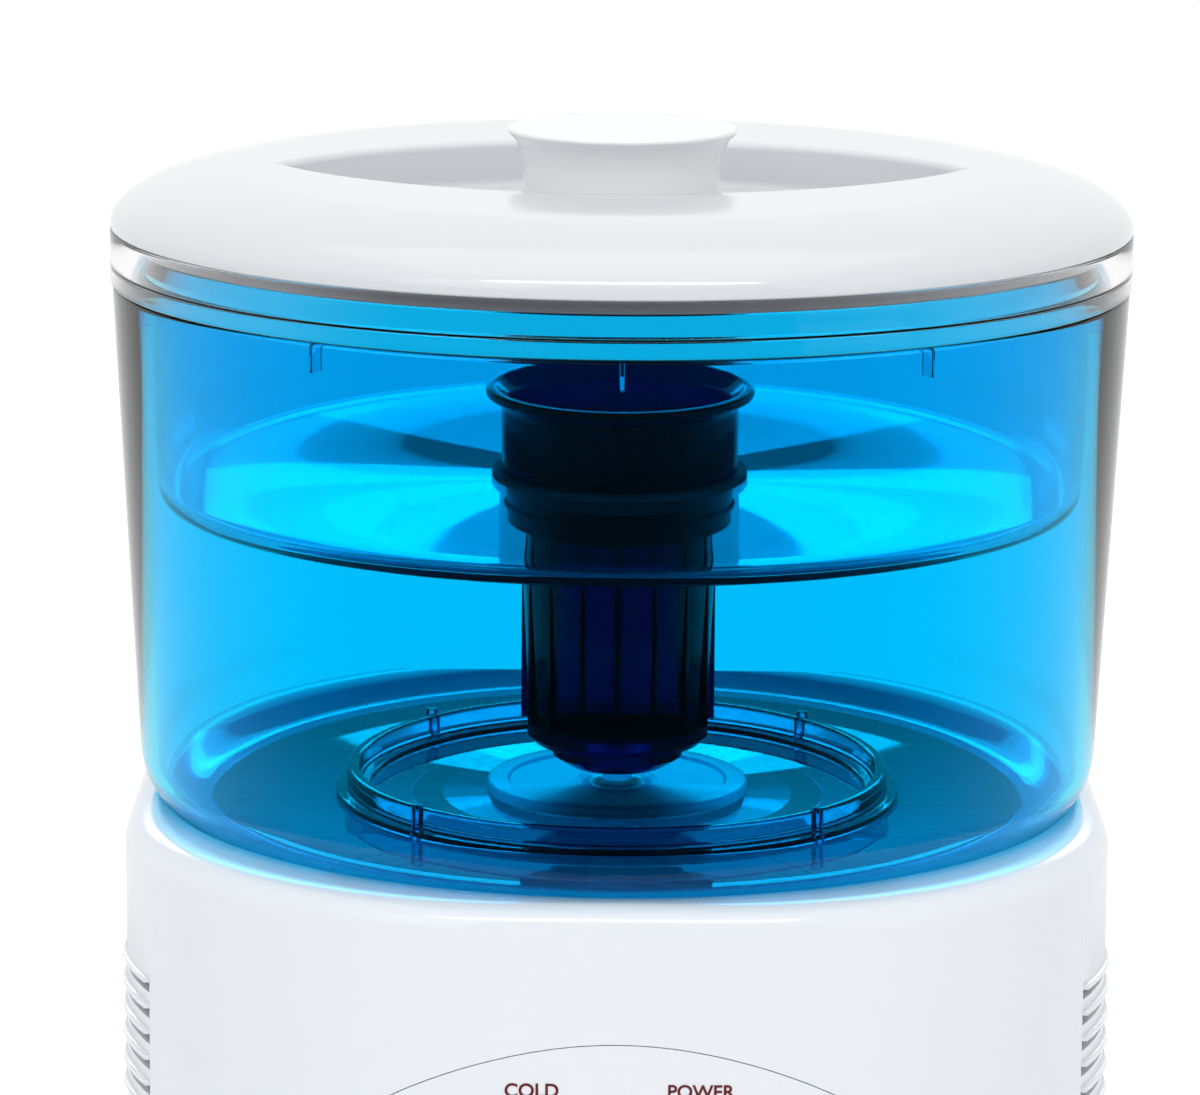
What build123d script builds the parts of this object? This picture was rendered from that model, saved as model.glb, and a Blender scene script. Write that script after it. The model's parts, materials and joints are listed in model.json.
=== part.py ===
"""Countertop water dispenser: a white chiller body with two taps, and a blue water pot with a
filter cartridge standing on top of it. Millimetres, +Z up, the front faces -Y. The origin is on
the pot's axis, in the plane that the feet stand on."""

import math
import os

from build123d import *

# ---- chiller body -------------------------------------------------------------------------
BODY_W = 281.5
BODY_D = 294.0
BODY_CORNER = 118.0
BODY_BACK = 136.0
BACK_CORNER = 14.0
BODY_TOP = 370.0
SHOULDER_R = 8.0
WALL = 3.0
FOOT_H = 8.0
FOOT_R = 11.0
FOOT_INSET = 2.0
FOOT_ANGLE = 32.0
BOSS_H = 28.0
DECK_T = 4.0
SEAT_R = 133.0
SEAT_DEPTH = 6.0
BASE_T = 3.0
FIT = 0.3
RUN = 0.05

# ---- side louvres -------------------------------------------------------------------------
LOUVRE_COUNT = 6
LOUVRE_PITCH = 7.5
LOUVRE_TOP_Z = 328.0
LOUVRE_SLOT = 3.0
LOUVRE_FRONT_Y = -76.0
LOUVRE_BACK_Y = 60.0
LOUVRE_LIP = 1.4

# ---- front and rear panels, niche ----------------------------------------------------------
PANEL_HALF_W = 100.0
PANEL_LOW_Z = 24.0
PANEL_APEX_Z = 333.0
PANEL_ARCH_R = 123.0
NICHE_HALF_W = 78.0
NICHE_LOW_Z = 40.0
NICHE_APEX_Z = 262.0
NICHE_ARCH_R = 95.0
NICHE_BACK_Y = -62.0
LINER_WALL = 2.5
REAR_HALF_W = 66.0
REAR_LOW_Z = 24.0
REAR_TOP_Z = 330.0
LAMP_X = 24.0
LAMP_Z = 306.0
LAMP_R = 3.0

# ---- pot -----------------------------------------------------------------------------------
TANK_H = 154.6
TANK_TOP_R = 145.6
TANK_LOW_R = 137.5
TANK_CORNER = 20.0
TANK_WALL = 4.0
GUARD_R = 79.0
GUARD_WALL = 4.0
GUARD_H = 7.5
OUTLET_DISC_R = 38.0
OUTLET_DISC_T = 3.0
OUTLET_R = 7.0
OUTLET_BORE_R = 4.5
OUTLET_DROP = 18.0

# ---- raw water tray, collar ----------------------------------------------------------------
TRAY_TOP_R = 137.2
TRAY_LOW_R = 134.6
TRAY_WALL = 2.5
TRAY_FLOOR_T = 3.0
TRAY_DEPTH = 66.0
TRAY_RISE = 6.5
FLANGE_T = 4.9
FLANGE_R = 143.4
TRAY_CORNER = 8.0
RIB_COUNT = 12
RIB_H = 9.0
RIB_T = 1.5
COLLAR_R = 146.2
COLLAR_IN_R = 139.4
COLLAR_H = 11.0
COLLAR_SKIRT = 4.6

# ---- filter cartridge ----------------------------------------------------------------------
CUP_R = 34.5
CUP_RIM_R = 39.2
CUP_H = 25.0
CUP_WALL = 2.2
CUP_FOOT_R = 37.5
CUP_FLOOR_T = 2.5
NECK_R = 30.0
NECK_GAP = 0.5
SEAL_T = 1.5
SOCKET_H = 20.0
SOCKET_R = 34.3
CARTRIDGE_R = 28.0
CARTRIDGE_LOW_R = 26.4
CARTRIDGE_CLEAR = 4.0
END_CAP_H = 12.0

# ---- lid -----------------------------------------------------------------------------------
LID_R = 146.0
LID_RISE = 16.2
LID_FLAT_R = 106.0
LID_EDGE_H = 1.2
LID_WALL = 2.6
LID_SKIRT_DROP = 4.5
LENS_R = 111.4
LENS_HALF_D = 57.5
LENS_DEPTH = 13.0
LID_TUB_WALL = 2.2
LID_SCREW_Y = 20.0
GRIP_R = 33.0
GRIP_NECK_R = 27.0
GRIP_RISE = 13.0

# ---- taps ----------------------------------------------------------------------------------
TAP_X = 36.0
TAP_Z = 213.0
TAP_Y = -104.0
SHANK_R = 8.0
SHANK_BORE_R = 4.0
SHANK_BACK_Y = -47.0
BARREL_R = 11.0
BARREL_LOW = 17.0
BARREL_HIGH = 17.0
BONNET_R = 12.0
BONNET_T = 6.0
SPOUT_R = 6.5
SPOUT_L = 20.0
PLUG_R = 7.6
PLUG_H = 8.0
STEM_R = 2.4
PIVOT_AHEAD = 8.0
PIVOT_RISE = 5.0
PIN_R = 1.5
LEVER_L = 22.0
LEVER_T = 4.0
LEVER_HALF_W = 4.6
EAR_T = 2.4

# ---- drip tray -----------------------------------------------------------------------------
DRIP_H = 20.0
DRIP_WALL = 2.0
GRILLE_T = 2.4
GRILLE_SLOTS = 11

# ---- cold water section --------------------------------------------------------------------
COLD_Y = 30.0
COLD_R = 48.0
COLD_LOW_Z = 172.0
COLD_H = 128.0
COLD_WALL = 1.0
COLD_LID_T = 6.0
FOAM_T = 10.0
CUP_SIDE_T = 2.6
CUP_DEEP = 23.0
CUP_FLANGE_W = 9.0
CUP_FLANGE_T = 2.0
TUBE_R = 5.0
TUBE_BORE_R = 3.5
TUBE_BEND_R = 14.0
NIPPLE_R = 3.3
NIPPLE_L = 14.0
RISER_GAP = 8.6
PILLAR_X = 40.0
PILLAR_R = 5.0
COOLER_Z = 205.0
BLOCK_W = 44.0
BLOCK_GAP = 1.0
MODULE_T = 4.0
SINK_BASE_T = 5.0
SINK_W = 84.0
REAR_ROOM = 7.0
FIN_T = 1.6
FIN_COUNT = 13
FAN_W = 80.0
FAN_T = 12.0
FAN_BORE_R = 38.0
FAN_HUB_R = 13.0
FAN_BLADES = 7
FAN_SHAFT_R = 1.5

# ---- rear fittings -------------------------------------------------------------------------
INLET_X = -40.0
INLET_Z = 60.0
INLET_W = 28.0
INLET_H = 21.0
INLET_DEEP = 22.0
SWITCH_Z = 96.0
SWITCH_W = 20.0
SWITCH_H = 13.0
ROCKER_TILT = 8.0
BOARD_W = 50.0
BOARD_L = 82.0
BOARD_Y = 55.0
BOARD_RISE = 14.0
BOARD_REACH = 67.5
DRAIN_X = 20.0
DRAIN_Z = 46.0
DRAIN_R = 9.0
SCREW_R = 1.5
SCREW_HEAD_R = 3.2
SCREW_HEAD_T = 2.0

# ---- levels that follow from the sizes above -----------------------------------------------
SEAT_Z = BODY_TOP - SEAT_DEPTH
DECK_LOW_Z = SEAT_Z - DECK_T
TANK_RIM_Z = SEAT_Z + TANK_H
FLANGE_TOP_Z = TANK_RIM_Z + FLANGE_T
LID_Z = FLANGE_TOP_Z + COLLAR_H
TRAY_FLOOR_Z = FLANGE_TOP_Z - TRAY_DEPTH
CUP_FOOT_Z = TRAY_FLOOR_Z + SEAL_T
CUP_RIM_Z = TRAY_FLOOR_Z + CUP_H
SOCKET_LOW_Z = TRAY_FLOOR_Z - TRAY_FLOOR_T - SOCKET_H
CAP_LOW_Z = SEAT_Z + TANK_WALL + OUTLET_DISC_T + CARTRIDGE_CLEAR
CARTRIDGE_LOW_Z = CAP_LOW_Z + END_CAP_H
CUP_BOTTOM_Z = SEAT_Z - CUP_DEEP
FOAM_R = COLD_R + FOAM_T
FOAM_LOW_Z = COLD_LOW_Z - FOAM_T
RISER_Y = COLD_Y - math.sqrt((FOAM_R + RISER_GAP) ** 2 - TAP_X**2)
CUP_IN_R = math.hypot(TAP_X, RISER_Y) + 2 * NIPPLE_R
CUP_FLANGE_R = CUP_IN_R + CUP_FLANGE_W
COLD_TOP_Z = COLD_LOW_Z + COLD_H
BARREL_LOW_Z = TAP_Z - BARREL_LOW
BARREL_TOP_Z = TAP_Z + BARREL_HIGH
BONNET_TOP_Z = BARREL_TOP_Z + BONNET_T
PIVOT_Y = TAP_Y - PIVOT_AHEAD
PIVOT_Z = BONNET_TOP_Z + PIVOT_RISE
LENS_TOP_Z = LID_Z + LID_RISE
LENS_FLOOR_Z = LENS_TOP_Z - LENS_DEPTH
DRIP_LOW_Z = NICHE_LOW_Z
DRIP_TOP_Z = DRIP_LOW_Z + DRIP_H
BLOCK_BACK_Y = COLD_Y + FOAM_R + BLOCK_GAP
MODULE_BACK_Y = BLOCK_BACK_Y + MODULE_T
FAN_BACK_Y = BODY_BACK - REAR_ROOM
SINK_BACK_Y = FAN_BACK_Y - FAN_T
BOARD_X = BOARD_REACH - BODY_W / 2
REAR_IN_Y = BODY_BACK - WALL
LOW = (Align.CENTER, Align.CENTER, Align.MIN)


def rod(radius, low, high, x=0.0, y=0.0):
    """A round bar along Z."""
    return Pos(x, y, low) * Cylinder(radius, high - low, align=LOW)


def ring(outer, inner, low, high, x=0.0, y=0.0):
    """A plain ring or pipe along Z."""
    return rod(outer, low, high, x, y) - rod(inner, low - 1, high + 1, x, y)


def rod_y(radius, front, back, x, z):
    """A round bar along Y."""
    return Pos(x, front, z) * Rot(-90, 0, 0) * Cylinder(radius, back - front, align=LOW)


def rod_x(radius, left, right, y, z):
    """A round bar along X."""
    return Pos(left, y, z) * Rot(0, 90, 0) * Cylinder(radius, right - left, align=LOW)


def block(x_span, y_span, z_span):
    """A box between two limits along each axis."""
    size = [high - low for low, high in (x_span, y_span, z_span)]
    middle = [(low + high) / 2 for low, high in (x_span, y_span, z_span)]
    return Pos(*middle) * Box(*size)


def turned(points):
    """A solid of revolution about Z from a closed outline of radius and height."""
    outline = make_face(Polyline([(r, 0, z) for r, z in points], close=True))
    return revolve(outline, Axis.Z)


def prism_y(sketch, front, back):
    """A sketch in X and Z, carried along Y."""
    return extrude(Plane.XZ.offset(-back) * sketch, back - front)


def save(name, *solids):
    """Writes one node; a node of several like pieces keeps them as separate solids."""
    shape = solids[0] if len(solids) == 1 else Compound(list(solids))
    export_step(shape, f"parts/{name}.step")


def plan(inset):
    """The body's outline, moved inwards by the inset."""
    squircle = RectangleRounded(BODY_W - 2 * inset, BODY_D - 2 * inset, BODY_CORNER - inset)
    reach = BODY_D
    keep = Pos(0, BODY_BACK - inset - reach / 2) * Rectangle(BODY_W, reach)
    cut = squircle & keep
    rear = cut.vertices().sort_by(Axis.Y)[-2:]
    return fillet(rear, BACK_CORNER - inset)


def plan_block(inset, low, high):
    """The body's outline as a block between two heights."""
    return Pos(0, 0, low) * extrude(plan(inset), high - low)


def arch(half_width, low, apex, radius):
    """A sketch with straight sides and a round top."""
    flank = Pos(0, (low + apex) / 2) * Rectangle(2 * half_width, apex - low)
    crown = Pos(0, apex - radius) * Circle(radius)
    shoulder = apex - radius
    legs = Pos(0, (low + shoulder) / 2) * Rectangle(2 * half_width, shoulder - low)
    return (flank & crown) + legs


def screw(length, head_r=SCREW_HEAD_R, shank_r=SCREW_R, head_t=SCREW_HEAD_T):
    """A pan-head screw: the head's top at the origin, the shank pointing up."""
    head = Cylinder(head_r, head_t, align=LOW)
    head = fillet(head.edges().group_by(Axis.Z)[0], head_t * 0.4)
    slot_w = head_r * 0.28
    cross = Box(slot_w, head_r * 1.2, head_t * 0.9) + Box(head_r * 1.2, slot_w, head_t * 0.9)
    return head - cross + Pos(0, 0, head_t) * Cylinder(shank_r, length, align=LOW)


def boss_places():
    """Where the base is screwed to the shell: one place in each rounded corner."""
    reach = BODY_CORNER - FOOT_INSET - FOOT_R
    angle = math.radians(FOOT_ANGLE)
    x = BODY_W / 2 - BODY_CORNER + reach * math.cos(angle)
    y = BODY_D / 2 - BODY_CORNER + reach * math.sin(angle)
    return [(sx * x, sy * y) for sx in (-1, 1) for sy in (-1, 1)]


def rear_screw_places():
    """Where the rear panel is screwed on."""
    inset = 8.0
    xs = (-REAR_HALF_W + inset, REAR_HALF_W - inset)
    return [(x, z) for x in xs for z in (REAR_LOW_Z + inset, REAR_TOP_Z - inset)]


def louvre_levels():
    """The middle height of each side slot."""
    return [LOUVRE_TOP_Z - i * LOUVRE_PITCH for i in range(LOUVRE_COUNT)]


def louvre_lips():
    """Shallow visors standing proud above each side slot."""
    proud = plan_block(-LOUVRE_LIP, LOUVRE_TOP_Z - LOUVRE_PITCH * LOUVRE_COUNT, BODY_TOP)
    reach = BODY_W
    bands = []
    for level in louvre_levels():
        low = level + LOUVRE_SLOT / 2
        band = block((-reach, reach), (LOUVRE_FRONT_Y, LOUVRE_BACK_Y), (low, low + LOUVRE_LIP))
        bands.append(proud & band)
    return bands


def body_shell():
    outer = plan_block(0, FOOT_H, BODY_TOP)
    outer = fillet(outer.edges().group_by(Axis.Z)[-1], SHOULDER_R)
    cavity = plan_block(WALL, FOOT_H - 1, DECK_LOW_Z)
    shell = outer - cavity
    for lip in louvre_lips():
        shell += lip - cavity
    shell -= rod(SEAT_R, SEAT_Z, BODY_TOP + 1)
    shell -= rod(CUP_IN_R + CUP_SIDE_T + FIT, DECK_LOW_Z - 1, BODY_TOP)
    shell -= rod(CUP_FLANGE_R + FIT, SEAT_Z - CUP_FLANGE_T, BODY_TOP)
    for level in louvre_levels():
        span = (level - LOUVRE_SLOT / 2, level + LOUVRE_SLOT / 2)
        shell -= block((-BODY_W, BODY_W), (LOUVRE_FRONT_Y, LOUVRE_BACK_Y), span)
    front = arch(PANEL_HALF_W, PANEL_LOW_Z, PANEL_APEX_Z, PANEL_ARCH_R)
    shell -= prism_y(front, -BODY_D, 0)
    rear_w = (-REAR_HALF_W, REAR_HALF_W)
    shell -= block(rear_w, (COLD_Y, BODY_BACK + 1), (REAR_LOW_Z, REAR_TOP_Z))
    for x, y in boss_places():
        low = FOOT_H + BASE_T
        shell += rod(FOOT_R, low, low + BOSS_H, x, y)
        shell -= rod(SCREW_R + RUN, low - 1, low + BOSS_H / 2, x, y)
    for x, z in rear_screw_places():
        side = math.copysign(1, x)
        edges = sorted((x - side * 6, x + side * 16))
        ear = block(edges, (REAR_IN_Y - 7, REAR_IN_Y), (z - 6, z + 6))
        shell += ear - rod_y(SCREW_R + RUN, REAR_IN_Y - 8, BODY_BACK, x, z)
    return shell


def front_panel():
    skin = plan_block(0, PANEL_LOW_Z, PANEL_APEX_Z) - plan_block(WALL, 0, BODY_TOP)
    outline = arch(PANEL_HALF_W - FIT, PANEL_LOW_Z + FIT, PANEL_APEX_Z - FIT, PANEL_ARCH_R - FIT)
    panel = skin & prism_y(outline, -BODY_D, 0)
    hole = arch(NICHE_HALF_W, NICHE_LOW_Z, NICHE_APEX_Z, NICHE_ARCH_R)
    panel -= prism_y(hole, -BODY_D, 0)
    for x in (-LAMP_X, LAMP_X):
        panel -= rod_y(LAMP_R + FIT, -BODY_D, 0, x, LAMP_Z)
    for x in (-38.0, 38.0):
        panel += rod_y(3.0, -BODY_D / 2 + 1.5, -BODY_D / 2 + 9.0, x, LAMP_Z)
    return panel


def rear_panel():
    half = REAR_HALF_W - FIT
    panel = block((-half, half), (REAR_IN_Y, BODY_BACK), (REAR_LOW_Z + FIT, REAR_TOP_Z - FIT))
    slot = 3.6
    pitch = 7.6
    for i in range(-4, 5):
        z = COOLER_Z + i * pitch
        panel -= block((-36, 36), (0, BODY_D), (z - slot / 2, z + slot / 2))
    for i in range(5):
        z = REAR_TOP_Z - 30 - i * pitch
        panel -= block((-36, 36), (0, BODY_D), (z - slot / 2, z + slot / 2))
    half_w = INLET_W / 2 + FIT
    half_h = INLET_H / 2 + FIT
    x_span = (INLET_X - half_w, INLET_X + half_w)
    panel -= block(x_span, (0, BODY_D), (INLET_Z - half_h, INLET_Z + half_h))
    half_w = SWITCH_W / 2 + FIT
    half_h = SWITCH_H / 2 + FIT
    x_span = (INLET_X - half_w, INLET_X + half_w)
    panel -= block(x_span, (0, BODY_D), (SWITCH_Z - half_h, SWITCH_Z + half_h))
    panel -= rod_y(DRAIN_R + FIT, 0, BODY_D, DRAIN_X, DRAIN_Z)
    for x, z in rear_screw_places():
        panel -= rod_y(SCREW_R + 0.2, 0, BODY_D, x, z)
    return panel


def niche_liner():
    t = LINER_WALL
    outside = arch(NICHE_HALF_W + t, NICHE_LOW_Z - t, NICHE_APEX_Z + t, NICHE_ARCH_R + t)
    inside = arch(NICHE_HALF_W, NICHE_LOW_Z, NICHE_APEX_Z, NICHE_ARCH_R)
    tub = prism_y(outside, -BODY_D, NICHE_BACK_Y + t) - prism_y(inside, -BODY_D, NICHE_BACK_Y)
    tub &= plan_block(WALL + 0.2, 0, BODY_TOP)
    for x in (-TAP_X, TAP_X):
        tub -= rod_y(SHANK_R + FIT, NICHE_BACK_Y - 1, 0, x, TAP_Z)
    return tub


def base_plate():
    plate = plan_block(WALL + FIT, FOOT_H, FOOT_H + BASE_T)
    for x, y in boss_places():
        plate -= rod(SCREW_R + 0.2, 0, BODY_TOP, x, y)
    for i in range(-4, 5):
        plate -= block((-30, 30), (i * 9 + 58, i * 9 + 62), (0, FOOT_H + BASE_T + 1))
    for x in (-PILLAR_X, PILLAR_X):
        for y in (COLD_Y - 30.0, COLD_Y + 30.0):
            plate += rod(PILLAR_R, FOOT_H + BASE_T, FOAM_LOW_Z, x, y)
    return plate


def foot(x, y):
    body = rod(FOOT_R, 0, FOOT_H, x, y)
    body = fillet(body.edges().group_by(Axis.Z)[0], 1.5)
    body -= rod(SCREW_HEAD_R + FIT, -1, 5.0, x, y)
    return body - rod(SCREW_R + 0.2, -1, FOOT_H + 1, x, y)


def case_screws():
    """Foot screws, rear panel screws and fan screws."""
    made = [Pos(x, y, 3.0) * screw(18.0) for x, y in boss_places()]
    for x, z in rear_screw_places():
        made.append(Pos(x, BODY_BACK + SCREW_HEAD_T, z) * Rot(90, 0, 0) * screw(9.0))
    return made


def lamp_lens(x):
    front = -BODY_D / 2 - 0.6
    lens = rod_y(LAMP_R, front, front + 8.0, x, LAMP_Z)
    return lens + rod_y(LAMP_R + 1.5, front + 5.6, front + 7.0, x, LAMP_Z)


def lamp_board():
    front = -BODY_D / 2 + 9.0
    return block((-44, 44), (front, front + 1.6), (LAMP_Z - 9, LAMP_Z + 9))


def inlet_cup():
    """The funnel in the deck that the pot empties into, with an outlet for each circuit."""
    outer = CUP_IN_R + CUP_SIDE_T
    cup = rod(outer, CUP_BOTTOM_Z - CUP_SIDE_T, SEAT_Z) - rod(CUP_IN_R, CUP_BOTTOM_Z, SEAT_Z + 1)
    cup += ring(CUP_FLANGE_R, CUP_IN_R, SEAT_Z - CUP_FLANGE_T, SEAT_Z)
    for x, y in ((TAP_X, RISER_Y), (0.0, COLD_Y)):
        low = CUP_BOTTOM_Z - CUP_SIDE_T - NIPPLE_L
        cup += rod(NIPPLE_R, low, CUP_BOTTOM_Z - 1, x, y)
        cup -= rod(NIPPLE_R - 1.2, low - 1, CUP_BOTTOM_Z + 1, x, y)
    return cup


def cold_tank():
    can = rod(COLD_R, COLD_LOW_Z, COLD_TOP_Z, 0, COLD_Y)
    can -= rod(COLD_R - COLD_WALL, COLD_LOW_Z + COLD_WALL, COLD_TOP_Z + 1, 0, COLD_Y)
    for x, y in ((0.0, COLD_Y), (DRAIN_X, COLD_Y + 4.0)):
        can += rod(NIPPLE_R, COLD_LOW_Z - NIPPLE_L - FOAM_T, COLD_LOW_Z + 0.5, x, y)
        can -= rod(NIPPLE_R - 1.2, COLD_LOW_Z - NIPPLE_L - FOAM_T - 1, COLD_LOW_Z + 2, x, y)
    return can


def cold_tank_lid():
    top = COLD_TOP_Z + COLD_LID_T
    lid = rod(COLD_R, COLD_TOP_Z, top, 0, COLD_Y)
    lid += rod(COLD_R - COLD_WALL - FIT, COLD_TOP_Z - 5, COLD_TOP_Z, 0, COLD_Y)
    high = CUP_BOTTOM_Z - CUP_SIDE_T - NIPPLE_L - 6.0
    lid += rod(NIPPLE_R, top, high, 0, COLD_Y)
    return lid - rod(NIPPLE_R - 1.2, COLD_TOP_Z - 6, high + 1, 0, COLD_Y)


def cold_tank_insulation():
    top = COLD_TOP_Z + COLD_LID_T
    foam = rod(FOAM_R, FOAM_LOW_Z, top, 0, COLD_Y)
    foam -= rod(COLD_R + 0.2, COLD_LOW_Z - 0.2, top + 1, 0, COLD_Y)
    half = BLOCK_W / 2 + FIT
    foam -= block((-half, half), (COLD_Y, FOAM_R * 2), (COOLER_Z - half, COOLER_Z + half))
    for x, y in ((0.0, COLD_Y), (DRAIN_X, COLD_Y + 4.0)):
        foam -= rod(NIPPLE_R + FIT, 0, COLD_LOW_Z + 1, x, y)
    return foam


def cold_block():
    half = BLOCK_W / 2
    saddle = block((-half, half), (COLD_Y + 38.0, BLOCK_BACK_Y), (COOLER_Z - half, COOLER_Z + half))
    return saddle - rod(COLD_R + 0.05, 0, BODY_TOP, 0, COLD_Y)


def thermoelectric_module():
    half = 20.0
    return block((-half, half), (BLOCK_BACK_Y, MODULE_BACK_Y), (COOLER_Z - half, COOLER_Z + half))


def heat_sink():
    half = SINK_W / 2
    z_span = (COOLER_Z - half, COOLER_Z + half)
    sink = block((-half, half), (MODULE_BACK_Y, MODULE_BACK_Y + SINK_BASE_T), z_span)
    step = (SINK_W - FIN_T) / (FIN_COUNT - 1)
    for i in range(FIN_COUNT):
        x = -half + i * step
        sink += block((x, x + FIN_T), (MODULE_BACK_Y + SINK_BASE_T - 0.5, SINK_BACK_Y), z_span)
    return sink


def fan_frame():
    half = FAN_W / 2
    frame = block((-half, half), (SINK_BACK_Y, FAN_BACK_Y), (COOLER_Z - half, COOLER_Z + half))
    frame = fillet(frame.edges().filter_by(Axis.Y), 4.0)
    frame -= rod_y(FAN_BORE_R, SINK_BACK_Y - 1, FAN_BACK_Y + 1, 0, COOLER_Z)
    seat = (SINK_BACK_Y, SINK_BACK_Y + 3.0)
    struts = block((-FAN_BORE_R - 1, FAN_BORE_R + 1), seat, (COOLER_Z - 2, COOLER_Z + 2))
    struts += block((-2, 2), seat, (COOLER_Z - FAN_BORE_R - 1, COOLER_Z + FAN_BORE_R + 1))
    frame += struts
    frame += rod_y(FAN_HUB_R, *seat, 0, COOLER_Z)
    return frame - rod_y(FAN_SHAFT_R + RUN, SINK_BACK_Y - 1, FAN_BACK_Y, 0, COOLER_Z)


def fan_rotor():
    front = SINK_BACK_Y + 3.5
    back = FAN_BACK_Y - 0.8
    rotor = rod_y(FAN_HUB_R, front, back, 0, COOLER_Z)
    rotor += rod_y(FAN_SHAFT_R, SINK_BACK_Y + 0.5, front + 1, 0, COOLER_Z)
    length = FAN_BORE_R - 1.5 - FAN_HUB_R + 2.0
    middle = FAN_HUB_R - 2.0 + length / 2
    blade = Pos(middle, 0, 0) * Rot(32, 0, 0) * Box(length, 1.4, 11.0)
    envelope = rod_y(FAN_BORE_R - 1.5, front + 0.2, back - 0.2, 0, 0)
    for i in range(FAN_BLADES):
        turned_blade = Rot(0, i * 360 / FAN_BLADES, 0) * Pos(0, (front + back) / 2, 0) * blade
        rotor += Pos(0, 0, COOLER_Z) * (turned_blade & envelope)
    return rotor


def hose(points):
    """A flexible tube along straight runs joined by round bends."""
    radii = [TUBE_BEND_R] * (len(points) - 2)
    path = FilletPolyline(*points, radius=radii) if radii else Line(*points)
    start = Plane(origin=path @ 0, z_dir=path % 0)
    outside = sweep(start * Circle(TUBE_R), path=path)
    inside = sweep(start * Circle(TUBE_BORE_R), path=path)
    return outside - inside


def feed_tube():
    high = CUP_BOTTOM_Z - CUP_SIDE_T
    return ring(TUBE_R, TUBE_BORE_R, COLD_TOP_Z + COLD_LID_T, high, 0, COLD_Y)


def room_tube():
    top = CUP_BOTTOM_Z - CUP_SIDE_T
    corner = (TAP_X, RISER_Y, TAP_Z)
    return hose([(TAP_X, RISER_Y, top), corner, (TAP_X, SHANK_BACK_Y, TAP_Z)])


def cold_tube():
    under = FOAM_LOW_Z - 34.0
    route = [(0, COLD_Y, FOAM_LOW_Z), (0, COLD_Y, under), (-TAP_X, RISER_Y, under)]
    route += [(-TAP_X, RISER_Y, TAP_Z), (-TAP_X, SHANK_BACK_Y, TAP_Z)]
    return hose(route)


def drain_tube():
    y = COLD_Y + 4.0
    back = BODY_BACK - 18.0
    return hose([(DRAIN_X, y, FOAM_LOW_Z), (DRAIN_X, y, DRAIN_Z), (DRAIN_X, back, DRAIN_Z)])


def drain_fitting():
    """A flanged socket in the rear panel with a nipple for the drain tube."""
    front = BODY_BACK - 18.0
    fitting = rod_y(DRAIN_R, front, BODY_BACK, DRAIN_X, DRAIN_Z)
    fitting += rod_y(DRAIN_R + 3, BODY_BACK, BODY_BACK + 2, DRAIN_X, DRAIN_Z)
    fitting += rod_y(NIPPLE_R, front - 12, front + 1, DRAIN_X, DRAIN_Z)
    fitting -= rod_y(DRAIN_R - 3, front + 6, BODY_BACK + 3, DRAIN_X, DRAIN_Z)
    return fitting - rod_y(NIPPLE_R - 1.2, front - 13, front + 7, DRAIN_X, DRAIN_Z)


def drain_plug():
    front = BODY_BACK - 10.0
    plug = rod_y(DRAIN_R - 3 - FIT, front, BODY_BACK + 3, DRAIN_X, DRAIN_Z)
    knob = rod_y(DRAIN_R + 1, BODY_BACK + 2.2, BODY_BACK + 9, DRAIN_X, DRAIN_Z)
    for i in range(10):
        angle = math.radians(36 * i)
        x = DRAIN_X + (DRAIN_R + 1.8) * math.cos(angle)
        z = DRAIN_Z + (DRAIN_R + 1.8) * math.sin(angle)
        knob -= rod_y(1.6, BODY_BACK, BODY_BACK + 10, x, z)
    return plug + knob


def board_bracket():
    """A table on four posts for the supply board."""
    top = FOOT_H + BASE_T + BOARD_RISE
    half_w = BOARD_W / 2 + 2
    half_l = BOARD_L / 2 + 4
    x_span = (BOARD_X - half_w, BOARD_X + half_w)
    bracket = block(x_span, (BOARD_Y - half_l, BOARD_Y + half_l), (top - 2, top))
    for dx in (4 - half_w, half_w - 4):
        for dy in (4 - half_l, half_l - 4):
            bracket += rod(4.0, FOOT_H + BASE_T, top - 1, BOARD_X + dx, BOARD_Y + dy)
    return bracket


def power_board():
    """The supply board with its larger parts standing on it."""
    low = FOOT_H + BASE_T + BOARD_RISE
    half_w = BOARD_W / 2
    half_l = BOARD_L / 2
    top = low + 1.5
    x_span = (BOARD_X - half_w, BOARD_X + half_w)
    board = block(x_span, (BOARD_Y - half_l, BOARD_Y + half_l), (low, low + 1.6))
    x_span = (BOARD_X - half_w + 4, BOARD_X + 5)
    board += block(x_span, (BOARD_Y - half_l + 8, BOARD_Y - 5), (top, low + 22))
    x_span = (BOARD_X + 11, BOARD_X + half_w - 4)
    board += block(x_span, (BOARD_Y - half_l + 10, BOARD_Y + 5), (top, low + 18))
    board += rod(8.0, top, low + 26, BOARD_X - 9, BOARD_Y + 13)
    return board + rod(5.0, top, low + 18, BOARD_X + 9, BOARD_Y + 23)


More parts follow.
